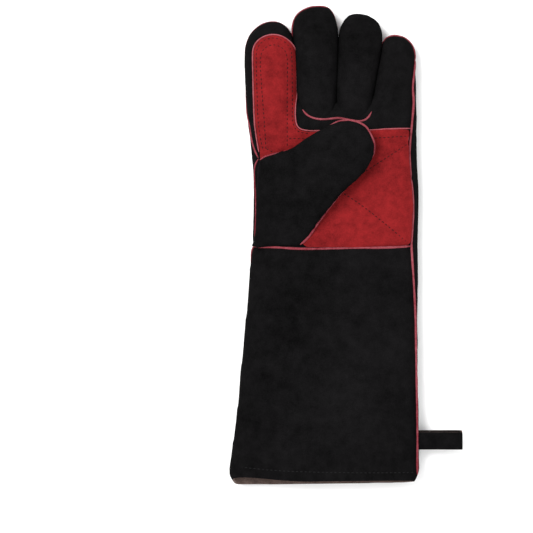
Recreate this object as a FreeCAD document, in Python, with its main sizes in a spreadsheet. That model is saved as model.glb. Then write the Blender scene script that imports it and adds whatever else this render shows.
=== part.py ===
"""Gauntlet glove for a hot grill, left hand, lying on its back with the palm up.

Frame: origin at the centre of the flat back of the hand, +Z up out of the palm, +Y to the fingertips,
+X to the little finger. Every size is a cell of the sheet "sizes", in millimetres and degrees.
Each panel of the real glove is cut where a joint crosses it, so one hide panel gives several solids.
"""
import FreeCAD, Part
import Sketcher
import math
import os
import sys

# alias, value, what it sets
SIZES = [
    ("leather", 1.8, "thickness of the split cowhide panels"),
    ("lining", 2.2, "thickness of the fleece and canvas lining"),
    ("welt", 1.6, "thickness of the welt strips sewn in the seams"),
    ("welt_proud", 1.0, "how far a welt stands out of its seam"),
    ("joint_gap", 0.4, "free gap each side of a knuckle or wrist line"),
    ("side_flat", 2.4, "upright strip left between the rounded edges of a side"),
    ("hand_length", 116.0, "wrist seam to knuckle line"),
    ("hand_height", 24.0, "thickness of the hand and fingers as it lies"),
    ("wrist_width", 140.0, "hand width at the wrist seam"),
    ("wrist_shift", 1.5, "wrist middle, to the little-finger side"),
    ("knuckle_shift", -1.5, "knuckle middle, to the little-finger side"),
    ("finger_gap", 2.6, "free space between two fingers"),
    ("index_width", 38.6, "flat width of the index finger"),
    ("middle_width", 35.4, "flat width of the middle finger"),
    ("ring_width", 33.8, "flat width of the ring finger"),
    ("little_width", 29.4, "flat width of the little finger"),
    ("index_length", 75.0, "knuckle line to fingertip"),
    ("middle_length", 88.0, "knuckle line to fingertip"),
    ("ring_length", 81.5, "knuckle line to fingertip"),
    ("little_length", 64.0, "knuckle line to fingertip"),
    ("thumb_angle", -63.9, "turn of the thumb's hinge line from +X"),
    ("thumb_from_side", 23.3, "hinge line's zero point from the hand's side at the wrist"),
    ("thumb_from_wrist", 39.0, "hinge line's zero point from the wrist seam"),
    ("thumb_base_upper", 41.4, "hinge line's reach to the fingers"),
    ("thumb_base_lower", 30.0, "hinge line's reach to the wrist"),
    ("thumb_tip_radius", 20.5, "round of the thumb's tip"),
    ("thumb_tip_along", -15.5, "tip centre along the hinge line"),
    ("thumb_tip_out", 74.0, "tip centre out from the hinge line"),
    ("thumb_height", 21.0, "thickness of the thumb"),
    ("thumb_clear", 0.6, "thumb above the palm patch"),
    ("passage_length", 40.0, "slot from the hand into the thumb"),
    ("passage_width", 16.0, "slot from the hand into the thumb"),
    ("passage_back", 4.0, "slot's edge behind the hinge line"),
    ("passage_along", 10.0, "slot's middle along the hinge line"),
    ("patch", 1.6, "thickness of the red patch leather"),
    ("padding", 1.6, "thickness of the felt under the palm patch"),
    ("padding_inset", 3.0, "felt's edge inside the patch's edge"),
    ("patch_top_back", 18.0, "patch's upper edge below the knuckle line"),
    ("patch_side", 2.0, "patch's edge inside the hand's edge"),
    ("index_patch_side", 3.0, "index patch's edge inside the finger's edge"),
    ("index_patch_tip", 9.0, "index patch's end short of the fingertip"),
    ("seam_back", 7.0, "middle of the finger insert seam, below the knuckles"),
    ("seam_sag", 7.0, "depth of that seam's curve"),
    ("seam_inset", 5.0, "seam's ends inside the two fingers' outer edges"),
    ("cuff_length", 201.0, "wrist seam to the mouth"),
    ("cuff_height", 22.0, "thickness of the cuff as it lies"),
    ("mouth_width", 161.0, "flat width of the cuff's mouth"),
    ("mouth_shift", -7.0, "mouth middle, to the little-finger side"),
    ("hem", 10.0, "leather turned in at the mouth"),
    ("tab_length", 74.0, "riveted tab, end to end"),
    ("tab_width", 21.0, "riveted tab"),
    ("tab_thick", 2.2, "riveted tab"),
    ("tab_from_mouth", 53.0, "tab's middle from the mouth"),
    ("rivet_pitch", 51.0, "between the two rivets"),
    ("rivet_cap_radius", 3.0, "rivet's domed cap"),
    ("rivet_cap_height", 1.6, "rivet's domed cap"),
    ("rivet_post_radius", 1.4, "rivet's post and its hole"),
    ("rivet_washer_radius", 3.6, "rivet's inner washer"),
    ("rivet_washer_thick", 0.9, "rivet's inner washer"),
    ("loop_reach", 34.0, "hang loop, root to fold"),
    ("loop_width", 15.0, "hang loop's strap"),
    ("loop_leather", 1.6, "hang loop's strap"),
    ("loop_opening", 5.0, "free space inside the fold"),
    ("loop_from_mouth", 37.5, "loop's middle from the mouth"),
    ("loop_gap", 1.0, "loop's root outside the welt"),
]

doc = FreeCAD.newDocument("Glove")
sheet = doc.addObject("Spreadsheet::Sheet", "sizes")
for row, (alias, value, note) in enumerate(SIZES, start=1):
    sheet.set(f"A{row}", str(value))
    sheet.setAlias(f"A{row}", alias)
    sheet.set(f"B{row}", note)
doc.recompute()

FINGERS = ("index", "middle", "ring", "little")
SUBPARTS = {}

# Places that several pieces share, as expressions of the sheet's cells.
WRIST_Y = "(-sizes.hand_length / 2)"
KNUCKLE_Y = "(sizes.hand_length / 2)"
MOUTH_Y = "(-sizes.hand_length / 2 - sizes.cuff_length)"
PALM_HEIGHT = "sizes.hand_height"
PATCH_STACK = "(sizes.patch + sizes.padding)"
PATCH_WRIST_EDGE = f"({WRIST_Y} + 2 * sizes.joint_gap + sizes.welt)"
THUMB_FLOOR = f"({PALM_HEIGHT} + {PATCH_STACK} + sizes.thumb_clear)"
CUFF_FLOOR = "(sizes.rivet_cap_height + sizes.tab_thick)"
CUFF_SEAM_Z = f"({CUFF_FLOOR} + sizes.cuff_height / 2)"
FINGER_SUM = "(" + " + ".join(f"sizes.{f}_width" for f in FINGERS) + " + 3 * sizes.finger_gap)"
KNUCKLE_LEFT = f"(sizes.knuckle_shift - {FINGER_SUM} / 2)"
KNUCKLE_RIGHT = f"(sizes.knuckle_shift + {FINGER_SUM} / 2)"
WRIST_LEFT = "(sizes.wrist_shift - sizes.wrist_width / 2)"
WRIST_RIGHT = "(sizes.wrist_shift + sizes.wrist_width / 2)"
MOUTH_LEFT = "(sizes.mouth_shift - sizes.mouth_width / 2)"
MOUTH_RIGHT = "(sizes.mouth_shift + sizes.mouth_width / 2)"
THUMB_X = f"({WRIST_LEFT} + sizes.thumb_from_side)"
THUMB_Y = f"({WRIST_Y} + sizes.thumb_from_wrist)"
SKIN = "sizes.leather"
INSIDE = "(sizes.leather + sizes.lining)"
TAB_Y = f"({MOUTH_Y} + sizes.tab_from_mouth)"
REACH = 400.0  # half-space blocks are this large, well past the glove


def size(alias):
    """The number in one cell of the sheet."""
    return float(sheet.get(alias))


def tie(item, **expressions):
    """Binds properties of a document object to expressions; __ stands for a dot in a property's path."""
    for path, expression in expressions.items():
        item.setExpression(path.replace("__", "."), str(expression))
    return item


def add(kind, name, **expressions):
    """A document object of this kind, bound to expressions."""
    return tie(doc.addObject(kind, name), **expressions)


def add_in(body, kind, name, **expressions):
    """A feature of a PartDesign body, bound to expressions."""
    return tie(body.newObject(kind, name), **expressions)


def keep(label, item):
    """Names a finished sub-part, which is written to its own file."""
    item.Label = label
    SUBPARTS[label] = item
    return item


def minus(name, base, tool):
    """base without tool."""
    cut = doc.addObject("Part::Cut", name)
    cut.Base, cut.Tool = base, tool
    return cut


def shared(name, base, tool):
    """What base and tool have in common."""
    common = doc.addObject("Part::Common", name)
    common.Base, common.Tool = base, tool
    return common


def joined(name, pieces):
    """Several pieces fused into one."""
    fuse = doc.addObject("Part::MultiFuse", name)
    fuse.Shapes = pieces
    return fuse


def block(name, x0, x1, y0, y1, z0, z1):
    """A box between two values of each coordinate."""
    return add("Part::Box", name, Length=f"{x1} - ({x0})", Width=f"{y1} - ({y0})", Height=f"{z1} - ({z0})",
               Placement__Base__x=x0, Placement__Base__y=y0, Placement__Base__z=z0)


def place(item, x="0", y="0", z="0", angle=None):
    """Puts a finished item in the glove's frame, turned about +Z where an angle is given."""
    tie(item, Placement__Base__x=x, Placement__Base__y=y, Placement__Base__z=z)
    if angle:
        item.Placement = FreeCAD.Placement(FreeCAD.Vector(), FreeCAD.Vector(0, 0, 1), 1)
        tie(item, Placement__Rotation__Angle=angle)
    return item


def rounding(height):
    """Radius that leaves the upright strip on a side of this height."""
    return f"(({height} - sizes.side_flat) / 2)"


def round_edges(body, inset, height, open_ys):
    """Rounds the long edges of a body's tip, leaving upright edges and those of its open ends."""
    doc.recompute()
    tip = body.Tip
    before = tip.Shape.Volume
    tall = tip.Shape.BoundBox.ZLength
    names = []
    for number, edge in enumerate(tip.Shape.Edges, start=1):
        box = edge.BoundBox
        at_open_end = any(abs(box.YMin - y) < 1e-4 and abs(box.YMax - y) < 1e-4 for y in open_ys)
        if box.ZLength < 0.5 * tall and not at_open_end:
            names.append(f"Edge{number}")
    fillet = add_in(body, "PartDesign::Fillet", f"{body.Name}_round", Radius=f"{rounding(height)} - {inset}")
    fillet.Base = (tip, names)
    doc.recompute()
    if not body.Shape.Volume < before:
        raise ValueError(f"{body.Name} rounded nothing")
    return body


def filled_tube(name, inset, y0, y1, x_ends, floor, height):
    """A hand or cuff as one filled solid, inset by a wall: a wedge in plan with four rounded long edges.

    x_ends holds the left and right side at y0, then at y1, and inset is negative for an outset.
    """
    body = doc.addObject("PartDesign::Body", name)
    left0, right0, left1, right1 = x_ends
    add_in(body, "PartDesign::AdditiveWedge", f"{name}_block",
           Ymin=y0, Ymax=y1,
           Xmin=f"{left0} + {inset}", Xmax=f"{right0} - {inset}",
           X2min=f"{left1} + {inset}", X2max=f"{right1} - {inset}",
           Zmin=f"{floor} + {inset}", Zmax=f"{floor} + {height} - {inset}",
           Z2min=f"{floor} + {inset}", Z2max=f"{floor} + {height} - {inset}")
    doc.recompute()
    box = body.Shape.BoundBox
    return round_edges(body, inset, height, (box.YMin, box.YMax))


def filled_finger(name, inset, width, length):
    """A finger as one filled solid, inset by a wall: x from 0 and y from its knuckle line."""
    body = doc.addObject("PartDesign::Body", name)
    height = f"sizes.hand_height - 2 * {inset}"
    stem = f"({length} - {width} / 2)"
    add_in(body, "PartDesign::AdditiveBox", f"{name}_stem",
           Length=f"{width} - 2 * {inset}", Width=f"{stem} - sizes.joint_gap", Height=height,
           Placement__Base__x=inset, Placement__Base__y="sizes.joint_gap", Placement__Base__z=inset)
    add_in(body, "PartDesign::AdditiveCylinder", f"{name}_tip",
           Radius=f"{width} / 2 - {inset}", Height=height,
           Placement__Base__x=f"{width} / 2", Placement__Base__y=stem, Placement__Base__z=inset)
    doc.recompute()
    return round_edges(body, inset, "sizes.hand_height", (body.Shape.BoundBox.YMin,))


def filled_thumb(name, inset):
    """The thumb as one filled solid in its own frame: x along its hinge line, y out to the tip."""
    body = doc.addObject("PartDesign::Body", name)
    plane = next(f for f in body.Origin.OriginFeatures if f.Role == "XY_Plane")
    sketch = body.newObject("Sketcher::SketchObject", f"{name}_plan")
    sketch.AttachmentSupport = [(plane, "")]
    sketch.MapMode = "FlatFace"
    tie(sketch, AttachmentOffset__Base__z=inset)

    lower, upper = size("thumb_base_lower"), -size("thumb_base_upper")
    centre = FreeCAD.Vector(size("thumb_tip_along"), size("thumb_tip_out"), 0)
    radius, gap = size("thumb_tip_radius"), size("joint_gap")
    points = [FreeCAD.Vector(upper, gap, 0), centre + FreeCAD.Vector(-radius, 0, 0),
              centre + FreeCAD.Vector(radius, 0, 0), FreeCAD.Vector(lower, gap, 0)]
    circle = Part.Circle(centre, FreeCAD.Vector(0, 0, 1), radius)
    base = sketch.addGeometry(Part.LineSegment(points[3], points[0]))
    side_upper = sketch.addGeometry(Part.LineSegment(points[0], points[1]))
    tip = sketch.addGeometry(Part.ArcOfCircle(circle, 0, math.pi))
    side_lower = sketch.addGeometry(Part.LineSegment(points[2], points[3]))
    start, end, middle = 1, 2, 3
    for constraint in (
        ("Coincident", base, end, side_upper, start),
        ("Coincident", side_lower, end, base, start),
        ("Tangent", side_upper, end, tip, end),
        ("Tangent", tip, start, side_lower, start),
        ("Horizontal", base),
    ):
        sketch.addConstraint(Sketcher.Constraint(*constraint))
    origin = -1
    driven = (
        ("upper_end", Sketcher.Constraint("DistanceX", base, end, origin, 1, -upper),
         f"sizes.thumb_base_upper - {inset}"),
        ("lower_end", Sketcher.Constraint("DistanceX", origin, 1, base, start, lower),
         f"sizes.thumb_base_lower - {inset}"),
        ("foot", Sketcher.Constraint("DistanceY", origin, 1, base, end, gap), "sizes.joint_gap"),
        ("tip_along", Sketcher.Constraint("DistanceX", tip, middle, origin, 1, -centre.x),
         "-sizes.thumb_tip_along"),
        ("tip_out", Sketcher.Constraint("DistanceY", origin, 1, tip, middle, centre.y),
         "sizes.thumb_tip_out"),
        ("tip_radius", Sketcher.Constraint("Radius", tip, radius), f"sizes.thumb_tip_radius - {inset}"),
    )
    for label, constraint, expression in driven:
        number = sketch.addConstraint(constraint)
        sketch.renameConstraint(number, label)
        sketch.setExpression(f"Constraints.{label}", expression)
    doc.recompute()
    pad = add_in(body, "PartDesign::Pad", f"{name}_pad", Length=f"sizes.thumb_height - 2 * {inset}")
    pad.Profile = sketch
    doc.recompute()
    return round_edges(body, inset, "sizes.thumb_height", (body.Shape.BoundBox.YMin,))


def half_spaces(name, seam_z):
    """Blocks below, in and above the welt's slot in a side seam."""
    low, high = f"({seam_z} - sizes.welt / 2)", f"({seam_z} + sizes.welt / 2)"
    return (block(f"{name}_below", -REACH, REACH, -REACH, REACH, -REACH, low),
            block(f"{name}_slot", -REACH, REACH, -REACH, REACH, low, high),
            block(f"{name}_above", -REACH, REACH, -REACH, REACH, high, REACH))


def side_welts(name, filled, slot, skin):
    """The welts in the thumb-side and little-finger-side seams of the hand or the cuff."""
    plate = shared(f"{name}_welt_plate", filled(f"{name}_proud", "(-sizes.welt_proud)"), slot)
    ring = minus(f"{name}_welt_ring", plate, skin)
    for side, x0, x1 in (("radial", -REACH, 0), ("ulnar", 0, REACH)):
        half = block(f"{name}_{side}_half", x0, x1, -REACH, REACH, 0, REACH)
        keep(f"{name}_welt_{side}", shared(f"{name}_{side}_welt", ring, half))


def stall(name, back_label, front_label, filled, seam_z):
    """A finger or the thumb: back and front leather, the welt between them, and a lining stall.

    filled(name, inset) makes its solid. Returns the sub-parts, and the block above the seam.
    """
    below, slot, above = half_spaces(name, seam_z)
    outer = filled(f"{name}_outer", "0")
    skin = filled(f"{name}_skin", SKIN)
    hollow = filled(f"{name}_hollow", INSIDE)
    proud = filled(f"{name}_proud", "(-sizes.welt_proud)")
    shell = minus(f"{name}_shell", outer, skin)
    parts = [
        keep(back_label, shared(f"{name}_back_half", shell, below)),
        keep(front_label, shared(f"{name}_front_half", shell, above)),
        keep(f"{name}_welt", minus(f"{name}_welt_ring", shared(f"{name}_welt_plate", proud, slot), skin)),
        keep(f"{name}_lining", minus(f"{name}_lining_stall", skin, hollow)),
    ]
    return parts, above


def finger_left(finger):
    """Expression for the left side of a finger."""
    before = FINGERS[:FINGERS.index(finger)]
    return " + ".join([KNUCKLE_LEFT] + [f"sizes.{f}_width + sizes.finger_gap" for f in before])


def build_finger(finger):
    """One finger stall, with the red patch on the index finger."""
    width, length = f"sizes.{finger}_width", f"sizes.{finger}_length"

    def filled(name, inset):
        return filled_finger(name, inset, width, length)

    parts, above = stall(finger, f"{finger}_back", f"{finger}_front", filled, "sizes.hand_height / 2")
    if finger == "index":
        outside = filled("index_patch_outside", "(-sizes.patch)")
        skin = minus("index_patch_skin", outside, doc.getObject("index_outer"))
        side = "sizes.index_patch_side"
        stem = block("index_patch_stem", side, f"{width} - {side}", "sizes.joint_gap",
                     f"{length} - sizes.index_patch_tip - {width} / 2 + {side}", 0, REACH)
        end = add("Part::Cylinder", "index_patch_end", Radius=f"{width} / 2 - {side}", Height=REACH,
                  Placement__Base__x=f"{width} / 2",
                  Placement__Base__y=f"{length} - sizes.index_patch_tip - {width} / 2 + {side}")
        top = shared("index_patch_top", skin, above)
        patch = shared("index_patch_cut", top, joined("index_patch_outline", [stem, end]))
        parts.append(keep("index_patch", patch))
    for part in parts:
        place(part, x=finger_left(finger), y=KNUCKLE_Y)


def thumb_block(name, along0, along1, out0, out1, z0, z1):
    """A box laid along the thumb's hinge line, in the glove's frame."""
    item = add("Part::Box", f"{name}_box", Length=f"{along1} - ({along0})", Width=f"{out1} - ({out0})",
               Height=f"{z1} - ({z0})",
               Placement__Base__x=along0, Placement__Base__y=out0, Placement__Base__z=z0)
    turned = doc.addObject("Part::Compound", name)
    turned.Links = [item]
    return place(turned, x=THUMB_X, y=THUMB_Y, angle="sizes.thumb_angle")


def build_thumb():
    """The thumb, folded over the palm, above the patch."""
    parts, _ = stall("thumb", "thumb_inner_panel", "thumb_outer_panel", filled_thumb,
                     "sizes.thumb_height / 2")
    for part in parts:
        place(part, x=THUMB_X, y=THUMB_Y, z=THUMB_FLOOR, angle="sizes.thumb_angle")


def build_hand():
    """Hand panels, lining, welts, the padded palm patch and the thumb's foot."""
    near, far = f"({WRIST_Y} + sizes.joint_gap)", f"({KNUCKLE_Y} - sizes.joint_gap)"
    ends = (WRIST_LEFT, WRIST_RIGHT, KNUCKLE_LEFT, KNUCKLE_RIGHT)

    def filled(name, inset):
        return filled_tube(name, inset, near, far, ends, "0", "sizes.hand_height")

    below, slot, above = half_spaces("hand", "sizes.hand_height / 2")
    outer = filled("hand_outer", "0")
    skin = filled("hand_skin", SKIN)
    shell = minus("hand_shell", outer, skin)
    back_along = "(-sizes.passage_back - sizes.passage_width)"
    passage = thumb_block("thumb_passage", "sizes.passage_along - sizes.passage_length / 2",
                          "sizes.passage_along + sizes.passage_length / 2",
                          back_along, "-sizes.passage_back", "sizes.hand_height / 2", REACH)
    keep("hand_back_panel", shared("hand_back_half", shell, below))
    keep("palm_panel", minus("palm_open", shared("hand_palm_half", shell, above), passage))
    bag = minus("hand_bag", skin, filled("hand_hollow", INSIDE))
    keep("hand_lining", minus("hand_bag_open", bag, passage))

    side_welts("hand", filled, slot, skin)

    build_patch(filled, outer, above, far)

    # The thumb piece's foot lies on the palm between its hinge line, the side seam and the wrist seam.
    foot_raised = minus("foot_raised", filled("foot_outside", "(-sizes.leather)"), outer)
    foot_field = block("foot_field", -REACH, REACH, PATCH_WRIST_EDGE, REACH, 0, REACH)
    foot_side = thumb_block("foot_side", "-sizes.thumb_base_upper", REACH, -REACH,
                            "-sizes.joint_gap", 0, REACH)
    foot = shared("foot_cut", shared("foot_above", foot_raised, above), foot_field)
    keep("thumb_foot", minus("foot_open", shared("foot_edge", foot, foot_side), passage))

    side = rounding("sizes.hand_height")
    keep("wrist_welt", block("wrist_welt_strip", f"{WRIST_LEFT} + {side}", f"{WRIST_RIGHT} - {side}",
                             near, f"{near} + sizes.welt", PALM_HEIGHT, f"{PALM_HEIGHT} + sizes.welt"))
    keep("finger_insert_welt", insert_welt())


def patch_field(name, inset, top):
    """Outline of the palm patch, inset by a border: the palm, with an arm up to the index finger."""
    arm_left = f"({KNUCKLE_LEFT} + sizes.index_patch_side)"
    arm_right = f"({KNUCKLE_LEFT} + sizes.index_width - sizes.index_patch_side)"
    both = joined(f"{name}_blocks", [
        block(f"{name}_palm", f"{arm_left} + {inset}", f"{WRIST_RIGHT} - sizes.patch_side - {inset}",
              f"{PATCH_WRIST_EDGE} + {inset}", f"{KNUCKLE_Y} - sizes.patch_top_back - {inset}", 0, REACH),
        block(f"{name}_arm", f"{arm_left} + {inset}", f"{arm_right} - {inset}",
              f"{PATCH_WRIST_EDGE} + {inset}", f"{top} - {inset}", 0, REACH)])
    behind_hinge = thumb_block(f"{name}_behind", -REACH, REACH, -REACH, inset, 0, REACH)
    return minus(name, both, behind_hinge)


def build_patch(filled, outer, above, far):
    """The red patch: a raised skin of the palm in front of the thumb's hinge line, over a sheet of felt."""
    raised = minus("patch_raised", filled("patch_outside", f"(-{PATCH_STACK})"), outer)
    cover = shared("patch_cover", shared("patch_above", raised, above),
                   patch_field("patch_outline", "0", far))
    felt_raised = minus("felt_raised", filled("felt_outside", "(-sizes.padding)"), outer)
    felt = shared("felt_cut", shared("felt_above", felt_raised, above),
                  patch_field("felt_outline", "sizes.padding_inset", far))
    keep("palm_padding", felt)
    keep("palm_patch", minus("patch_over_felt", cover, felt))


def insert_welt():
    """The curved welt where the middle and ring fingers' front piece is let into the palm."""
    left = finger_left("middle") + " + sizes.seam_inset"
    right = finger_left("ring") + " + sizes.ring_width - sizes.seam_inset"
    half = f"((({right}) - ({left})) / 2)"
    radius = f"(({half} * {half} + sizes.seam_sag * sizes.seam_sag) / (2 * sizes.seam_sag))"
    centre_x = f"((({left}) + ({right})) / 2)"
    bottom = f"({KNUCKLE_Y} - sizes.seam_back - sizes.seam_sag / 2)"
    discs = []
    for name, grow in (("outer", "sizes.welt / 2"), ("inner", "-sizes.welt / 2")):
        disc = add("Part::Cylinder", f"insert_{name}", Radius=f"{radius} + {grow}", Height="sizes.welt")
        discs.append(place(disc, x=centre_x, y=f"{bottom} + {radius}", z=PALM_HEIGHT))
    band = minus("insert_band", *discs)
    window = block("insert_window", left, right, -REACH, f"{bottom} + sizes.seam_sag", 0, REACH)
    return shared("insert_arc", band, window)


def at_rivets(kind, name, **expressions):
    """Two equal primitives on the rivets' axes, as a list."""
    pair = []
    for side, sign in (("left", "-"), ("right", "+")):
        pair.append(add(kind, f"{name}_{side}", Placement__Base__y=TAB_Y,
                        Placement__Base__x=f"sizes.mouth_shift {sign} sizes.rivet_pitch / 2", **expressions))
    return pair


def disc_pair(name, radius, z, height):
    """A cylinder on each rivet's axis."""
    pair = doc.addObject("Part::Compound", name)
    pair.Links = at_rivets("Part::Cylinder", f"{name}_disc", Radius=radius, Height=height,
                           Placement__Base__z=z)
    return pair


def rivet_caps():
    """Two domed caps: each a low cylinder inside a ball that rests on the floor plane."""
    dome = "(2.2 * sizes.rivet_cap_radius)"
    discs = at_rivets("Part::Cylinder", "cap_disc", Radius="sizes.rivet_cap_radius",
                      Height="sizes.rivet_cap_height")
    balls = at_rivets("Part::Sphere", "cap_ball", Radius=dome, Placement__Base__z=dome)
    caps = doc.addObject("Part::Compound", "rivet_cap_pair")
    caps.Links = [shared(f"{disc.Name}_dome", disc, ball) for disc, ball in zip(discs, balls)]
    return caps


def tab_blank():
    """The tab across the back of the cuff before its holes: a strip with half-round ends."""
    centre_y, half_width = TAB_Y, "sizes.tab_width / 2"
    straight = "((sizes.tab_length - sizes.tab_width) / 2)"
    pieces = [block("tab_middle", f"sizes.mouth_shift - {straight}", f"sizes.mouth_shift + {straight}",
                    f"{centre_y} - {half_width}", f"{centre_y} + {half_width}",
                    "sizes.rivet_cap_height", CUFF_FLOOR)]
    for side, sign in (("left", "-"), ("right", "+")):
        end = add("Part::Cylinder", f"tab_end_{side}", Radius=half_width, Height="sizes.tab_thick")
        pieces.append(place(end, x=f"sizes.mouth_shift {sign} {straight}", y=centre_y,
                            z="sizes.rivet_cap_height"))
    return joined("tab_blank", pieces)


def build_cuff():
    """Cuff panels, lining, turned hem and side welts, with the riveted tab on the back."""
    near, far = MOUTH_Y, f"({WRIST_Y} - sizes.joint_gap)"
    ends = (MOUTH_LEFT, MOUTH_RIGHT, WRIST_LEFT, WRIST_RIGHT)

    def filled(name, inset):
        return filled_tube(name, inset, near, far, ends, CUFF_FLOOR, "sizes.cuff_height")

    below, slot, above = half_spaces("cuff", CUFF_SEAM_Z)
    skin = filled("cuff_skin", SKIN)
    shell = minus("cuff_shell", filled("cuff_outer", "0"), skin)
    holes = disc_pair("rivet_holes", "sizes.rivet_post_radius", "0", f"{CUFF_FLOOR} + {INSIDE}")
    keep("cuff_back_panel", minus("cuff_back_drilled", shared("cuff_back_half", shell, below), holes))
    keep("cuff_palm_panel", shared("cuff_palm_half", shell, above))

    hem_zone = block("hem_zone", -REACH, REACH, near, f"{near} + sizes.hem", 0, REACH)
    turned_in = minus("hem_tube", skin, filled("hem_hollow", "(2 * sizes.leather)"))
    keep("cuff_hem", shared("hem_ring", turned_in, hem_zone))
    lining = minus("cuff_lining_tube", skin, filled("cuff_hollow", INSIDE))
    keep("cuff_lining", minus("cuff_lining_drilled", minus("cuff_lining_cut", lining, hem_zone), holes))

    side_welts("cuff", filled, slot, skin)

    post_top = f"({CUFF_FLOOR} + {INSIDE})"
    keep("name_tab", minus("tab_drilled", tab_blank(), holes))
    keep("rivet_caps", rivet_caps())
    keep("rivet_posts", disc_pair("rivet_post_pair", "sizes.rivet_post_radius", "sizes.rivet_cap_height",
                                  f"{post_top} - sizes.rivet_cap_height"))
    keep("rivet_washers", disc_pair("rivet_washer_pair", "sizes.rivet_washer_radius", post_top,
                                    "sizes.rivet_washer_thick"))


def build_loop():
    """The hang loop: a strap folded on itself, standing out of the little-finger side seam."""
    root = f"({MOUTH_RIGHT} + sizes.welt_proud + sizes.loop_gap)"
    strap_y = f"({MOUTH_Y} + sizes.loop_from_mouth - sizes.loop_width / 2)"
    outer_radius = "(sizes.loop_opening / 2 + sizes.loop_leather)"
    ends = {"root": f"({root} + {outer_radius})", "fold": f"({root} + sizes.loop_reach - {outer_radius})"}
    lying = FreeCAD.Placement(FreeCAD.Vector(), FreeCAD.Rotation(FreeCAD.Vector(1, 0, 0), -90))
    rings = []
    for name, radius, past in (("outer", outer_radius, 0), ("inner", "(sizes.loop_opening / 2)", 1)):
        y0, y1 = f"({strap_y} - {past})", f"({strap_y} + sizes.loop_width + {past})"
        pieces = [block(f"loop_{name}_flat", ends["root"], ends["fold"], y0, y1,
                        f"{CUFF_SEAM_Z} - {radius}", f"{CUFF_SEAM_Z} + {radius}")]
        for side, x in ends.items():
            end = add("Part::Cylinder", f"loop_{name}_{side}", Radius=radius, Height=f"{y1} - {y0}")
            end.Placement = lying
            pieces.append(place(end, x=x, y=y0, z=CUFF_SEAM_Z))
        rings.append(joined(f"loop_{name}", pieces))
    keep("hang_loop", minus("loop_strap", *rings))


def write_parts():
    """Checks every object and sub-part, then writes one STEP file for each sub-part."""
    doc.recompute()
    bad = [o.Name for o in doc.Objects if {"Invalid", "Error"} & set(o.State)]
    for label, item in SUBPARTS.items():
        shape = item.Shape
        if shape.isNull() or not shape.isValid() or not shape.Solids or shape.Volume <= 0:
            bad.append(label)
    if bad:
        sys.exit(f"not built: {bad}")
    os.makedirs("parts", exist_ok=True)
    for label, item in SUBPARTS.items():
        item.Shape.exportStep(f"parts/{label}.step")
    print(f"{len(SUBPARTS)} sub-parts written")


build_hand()
for finger_name in FINGERS:
    build_finger(finger_name)
build_thumb()
build_cuff()
build_loop()
write_parts()
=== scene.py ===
"""Looks of a left-hand grill gauntlet that lies on its back, palm up.

The glove is split cowhide suede over a brushed cotton lining. Its shells are soft closed forms, its red patch
is a sheet sewn to the palm, and a red welt stands in each seam. Lengths below are millimetres unless a name
ends in _m, and MM turns them to metres.
"""

import logging
import math
from dataclasses import dataclass, field
from enum import Enum
from typing import Callable, Iterable, Sequence

import bmesh
import bpy
import numpy as np
from mathutils import Matrix, Vector
from mathutils.bvhtree import BVHTree
from mathutils.geometry import delaunay_2d_cdt


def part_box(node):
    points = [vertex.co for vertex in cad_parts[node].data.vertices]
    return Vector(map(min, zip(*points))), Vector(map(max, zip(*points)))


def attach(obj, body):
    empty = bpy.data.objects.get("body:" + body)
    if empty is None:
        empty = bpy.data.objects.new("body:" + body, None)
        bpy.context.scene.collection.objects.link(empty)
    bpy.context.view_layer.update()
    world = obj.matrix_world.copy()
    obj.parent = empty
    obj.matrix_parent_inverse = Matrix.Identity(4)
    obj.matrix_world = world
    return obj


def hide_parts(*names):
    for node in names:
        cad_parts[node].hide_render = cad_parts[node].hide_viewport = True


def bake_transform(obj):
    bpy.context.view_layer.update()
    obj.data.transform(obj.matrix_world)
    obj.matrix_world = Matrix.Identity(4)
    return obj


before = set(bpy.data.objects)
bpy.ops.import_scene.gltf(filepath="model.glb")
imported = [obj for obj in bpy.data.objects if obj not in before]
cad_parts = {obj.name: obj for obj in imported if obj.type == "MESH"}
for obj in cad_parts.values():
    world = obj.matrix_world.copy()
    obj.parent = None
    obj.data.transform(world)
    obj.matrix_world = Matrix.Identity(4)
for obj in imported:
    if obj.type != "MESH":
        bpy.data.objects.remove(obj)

LOG = logging.getLogger("gauntlet")
MM = 0.001
MIX_A, MIX_B = 6, 7  # the colour sockets of a Mix node, whose names its number sockets share
Point = tuple[float, float]
Place = tuple[float, float, float]
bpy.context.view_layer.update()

# How split leather stretches and bends, for the cloth solver.
LEATHER_CLOTH = {
    "quality": 6,
    "mass": 0.3,
    "tension_stiffness": 18,
    "compression_stiffness": 12,
    "shear_stiffness": 6,
    "bending_stiffness": 0.6,
}
CLOTH_FRAMES = 20
MID_HEIGHT_M = 0.012  # half way up the lying glove


# ---------------------------------------------------------------- colour and materials


def linear(hex_colour: str) -> tuple[float, float, float, float]:
    """Turns an sRGB hex colour to linear light.

    Args:
        hex_colour: Six hex digits, such as "aa2a2e".

    Returns:
        Red, green, blue and an alpha of 1.
    """
    channels = [int(hex_colour[i : i + 2], 16) / 255 for i in (0, 2, 4)]
    light = [c / 12.92 if c <= 0.04045 else ((c + 0.055) / 1.055) ** 2.4 for c in channels]
    return (*light, 1.0)


def node(
    tree: bpy.types.NodeTree,
    kind: str,
    settings: dict[str | int, object] | None = None,
    links: dict[str | int, bpy.types.NodeSocket] | None = None,
) -> bpy.types.Node:
    """Adds a shader node with its settings, values and links.

    Args:
        tree: The material's node tree.
        kind: The node's type, such as "ShaderNodeTexNoise".
        settings: Properties of the node, and values of its inputs by name or number.
        links: The socket that feeds each linked input, by the input's name or number.

    Returns:
        The new node.
    """
    made = tree.nodes.new(kind)
    for key, value in (settings or {}).items():
        if isinstance(key, int) or key in made.inputs:
            made.inputs[key].default_value = value
        else:
            setattr(made, key, value)
    for key, socket in (links or {}).items():
        tree.links.new(socket, made.inputs[key])
    return made


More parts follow.
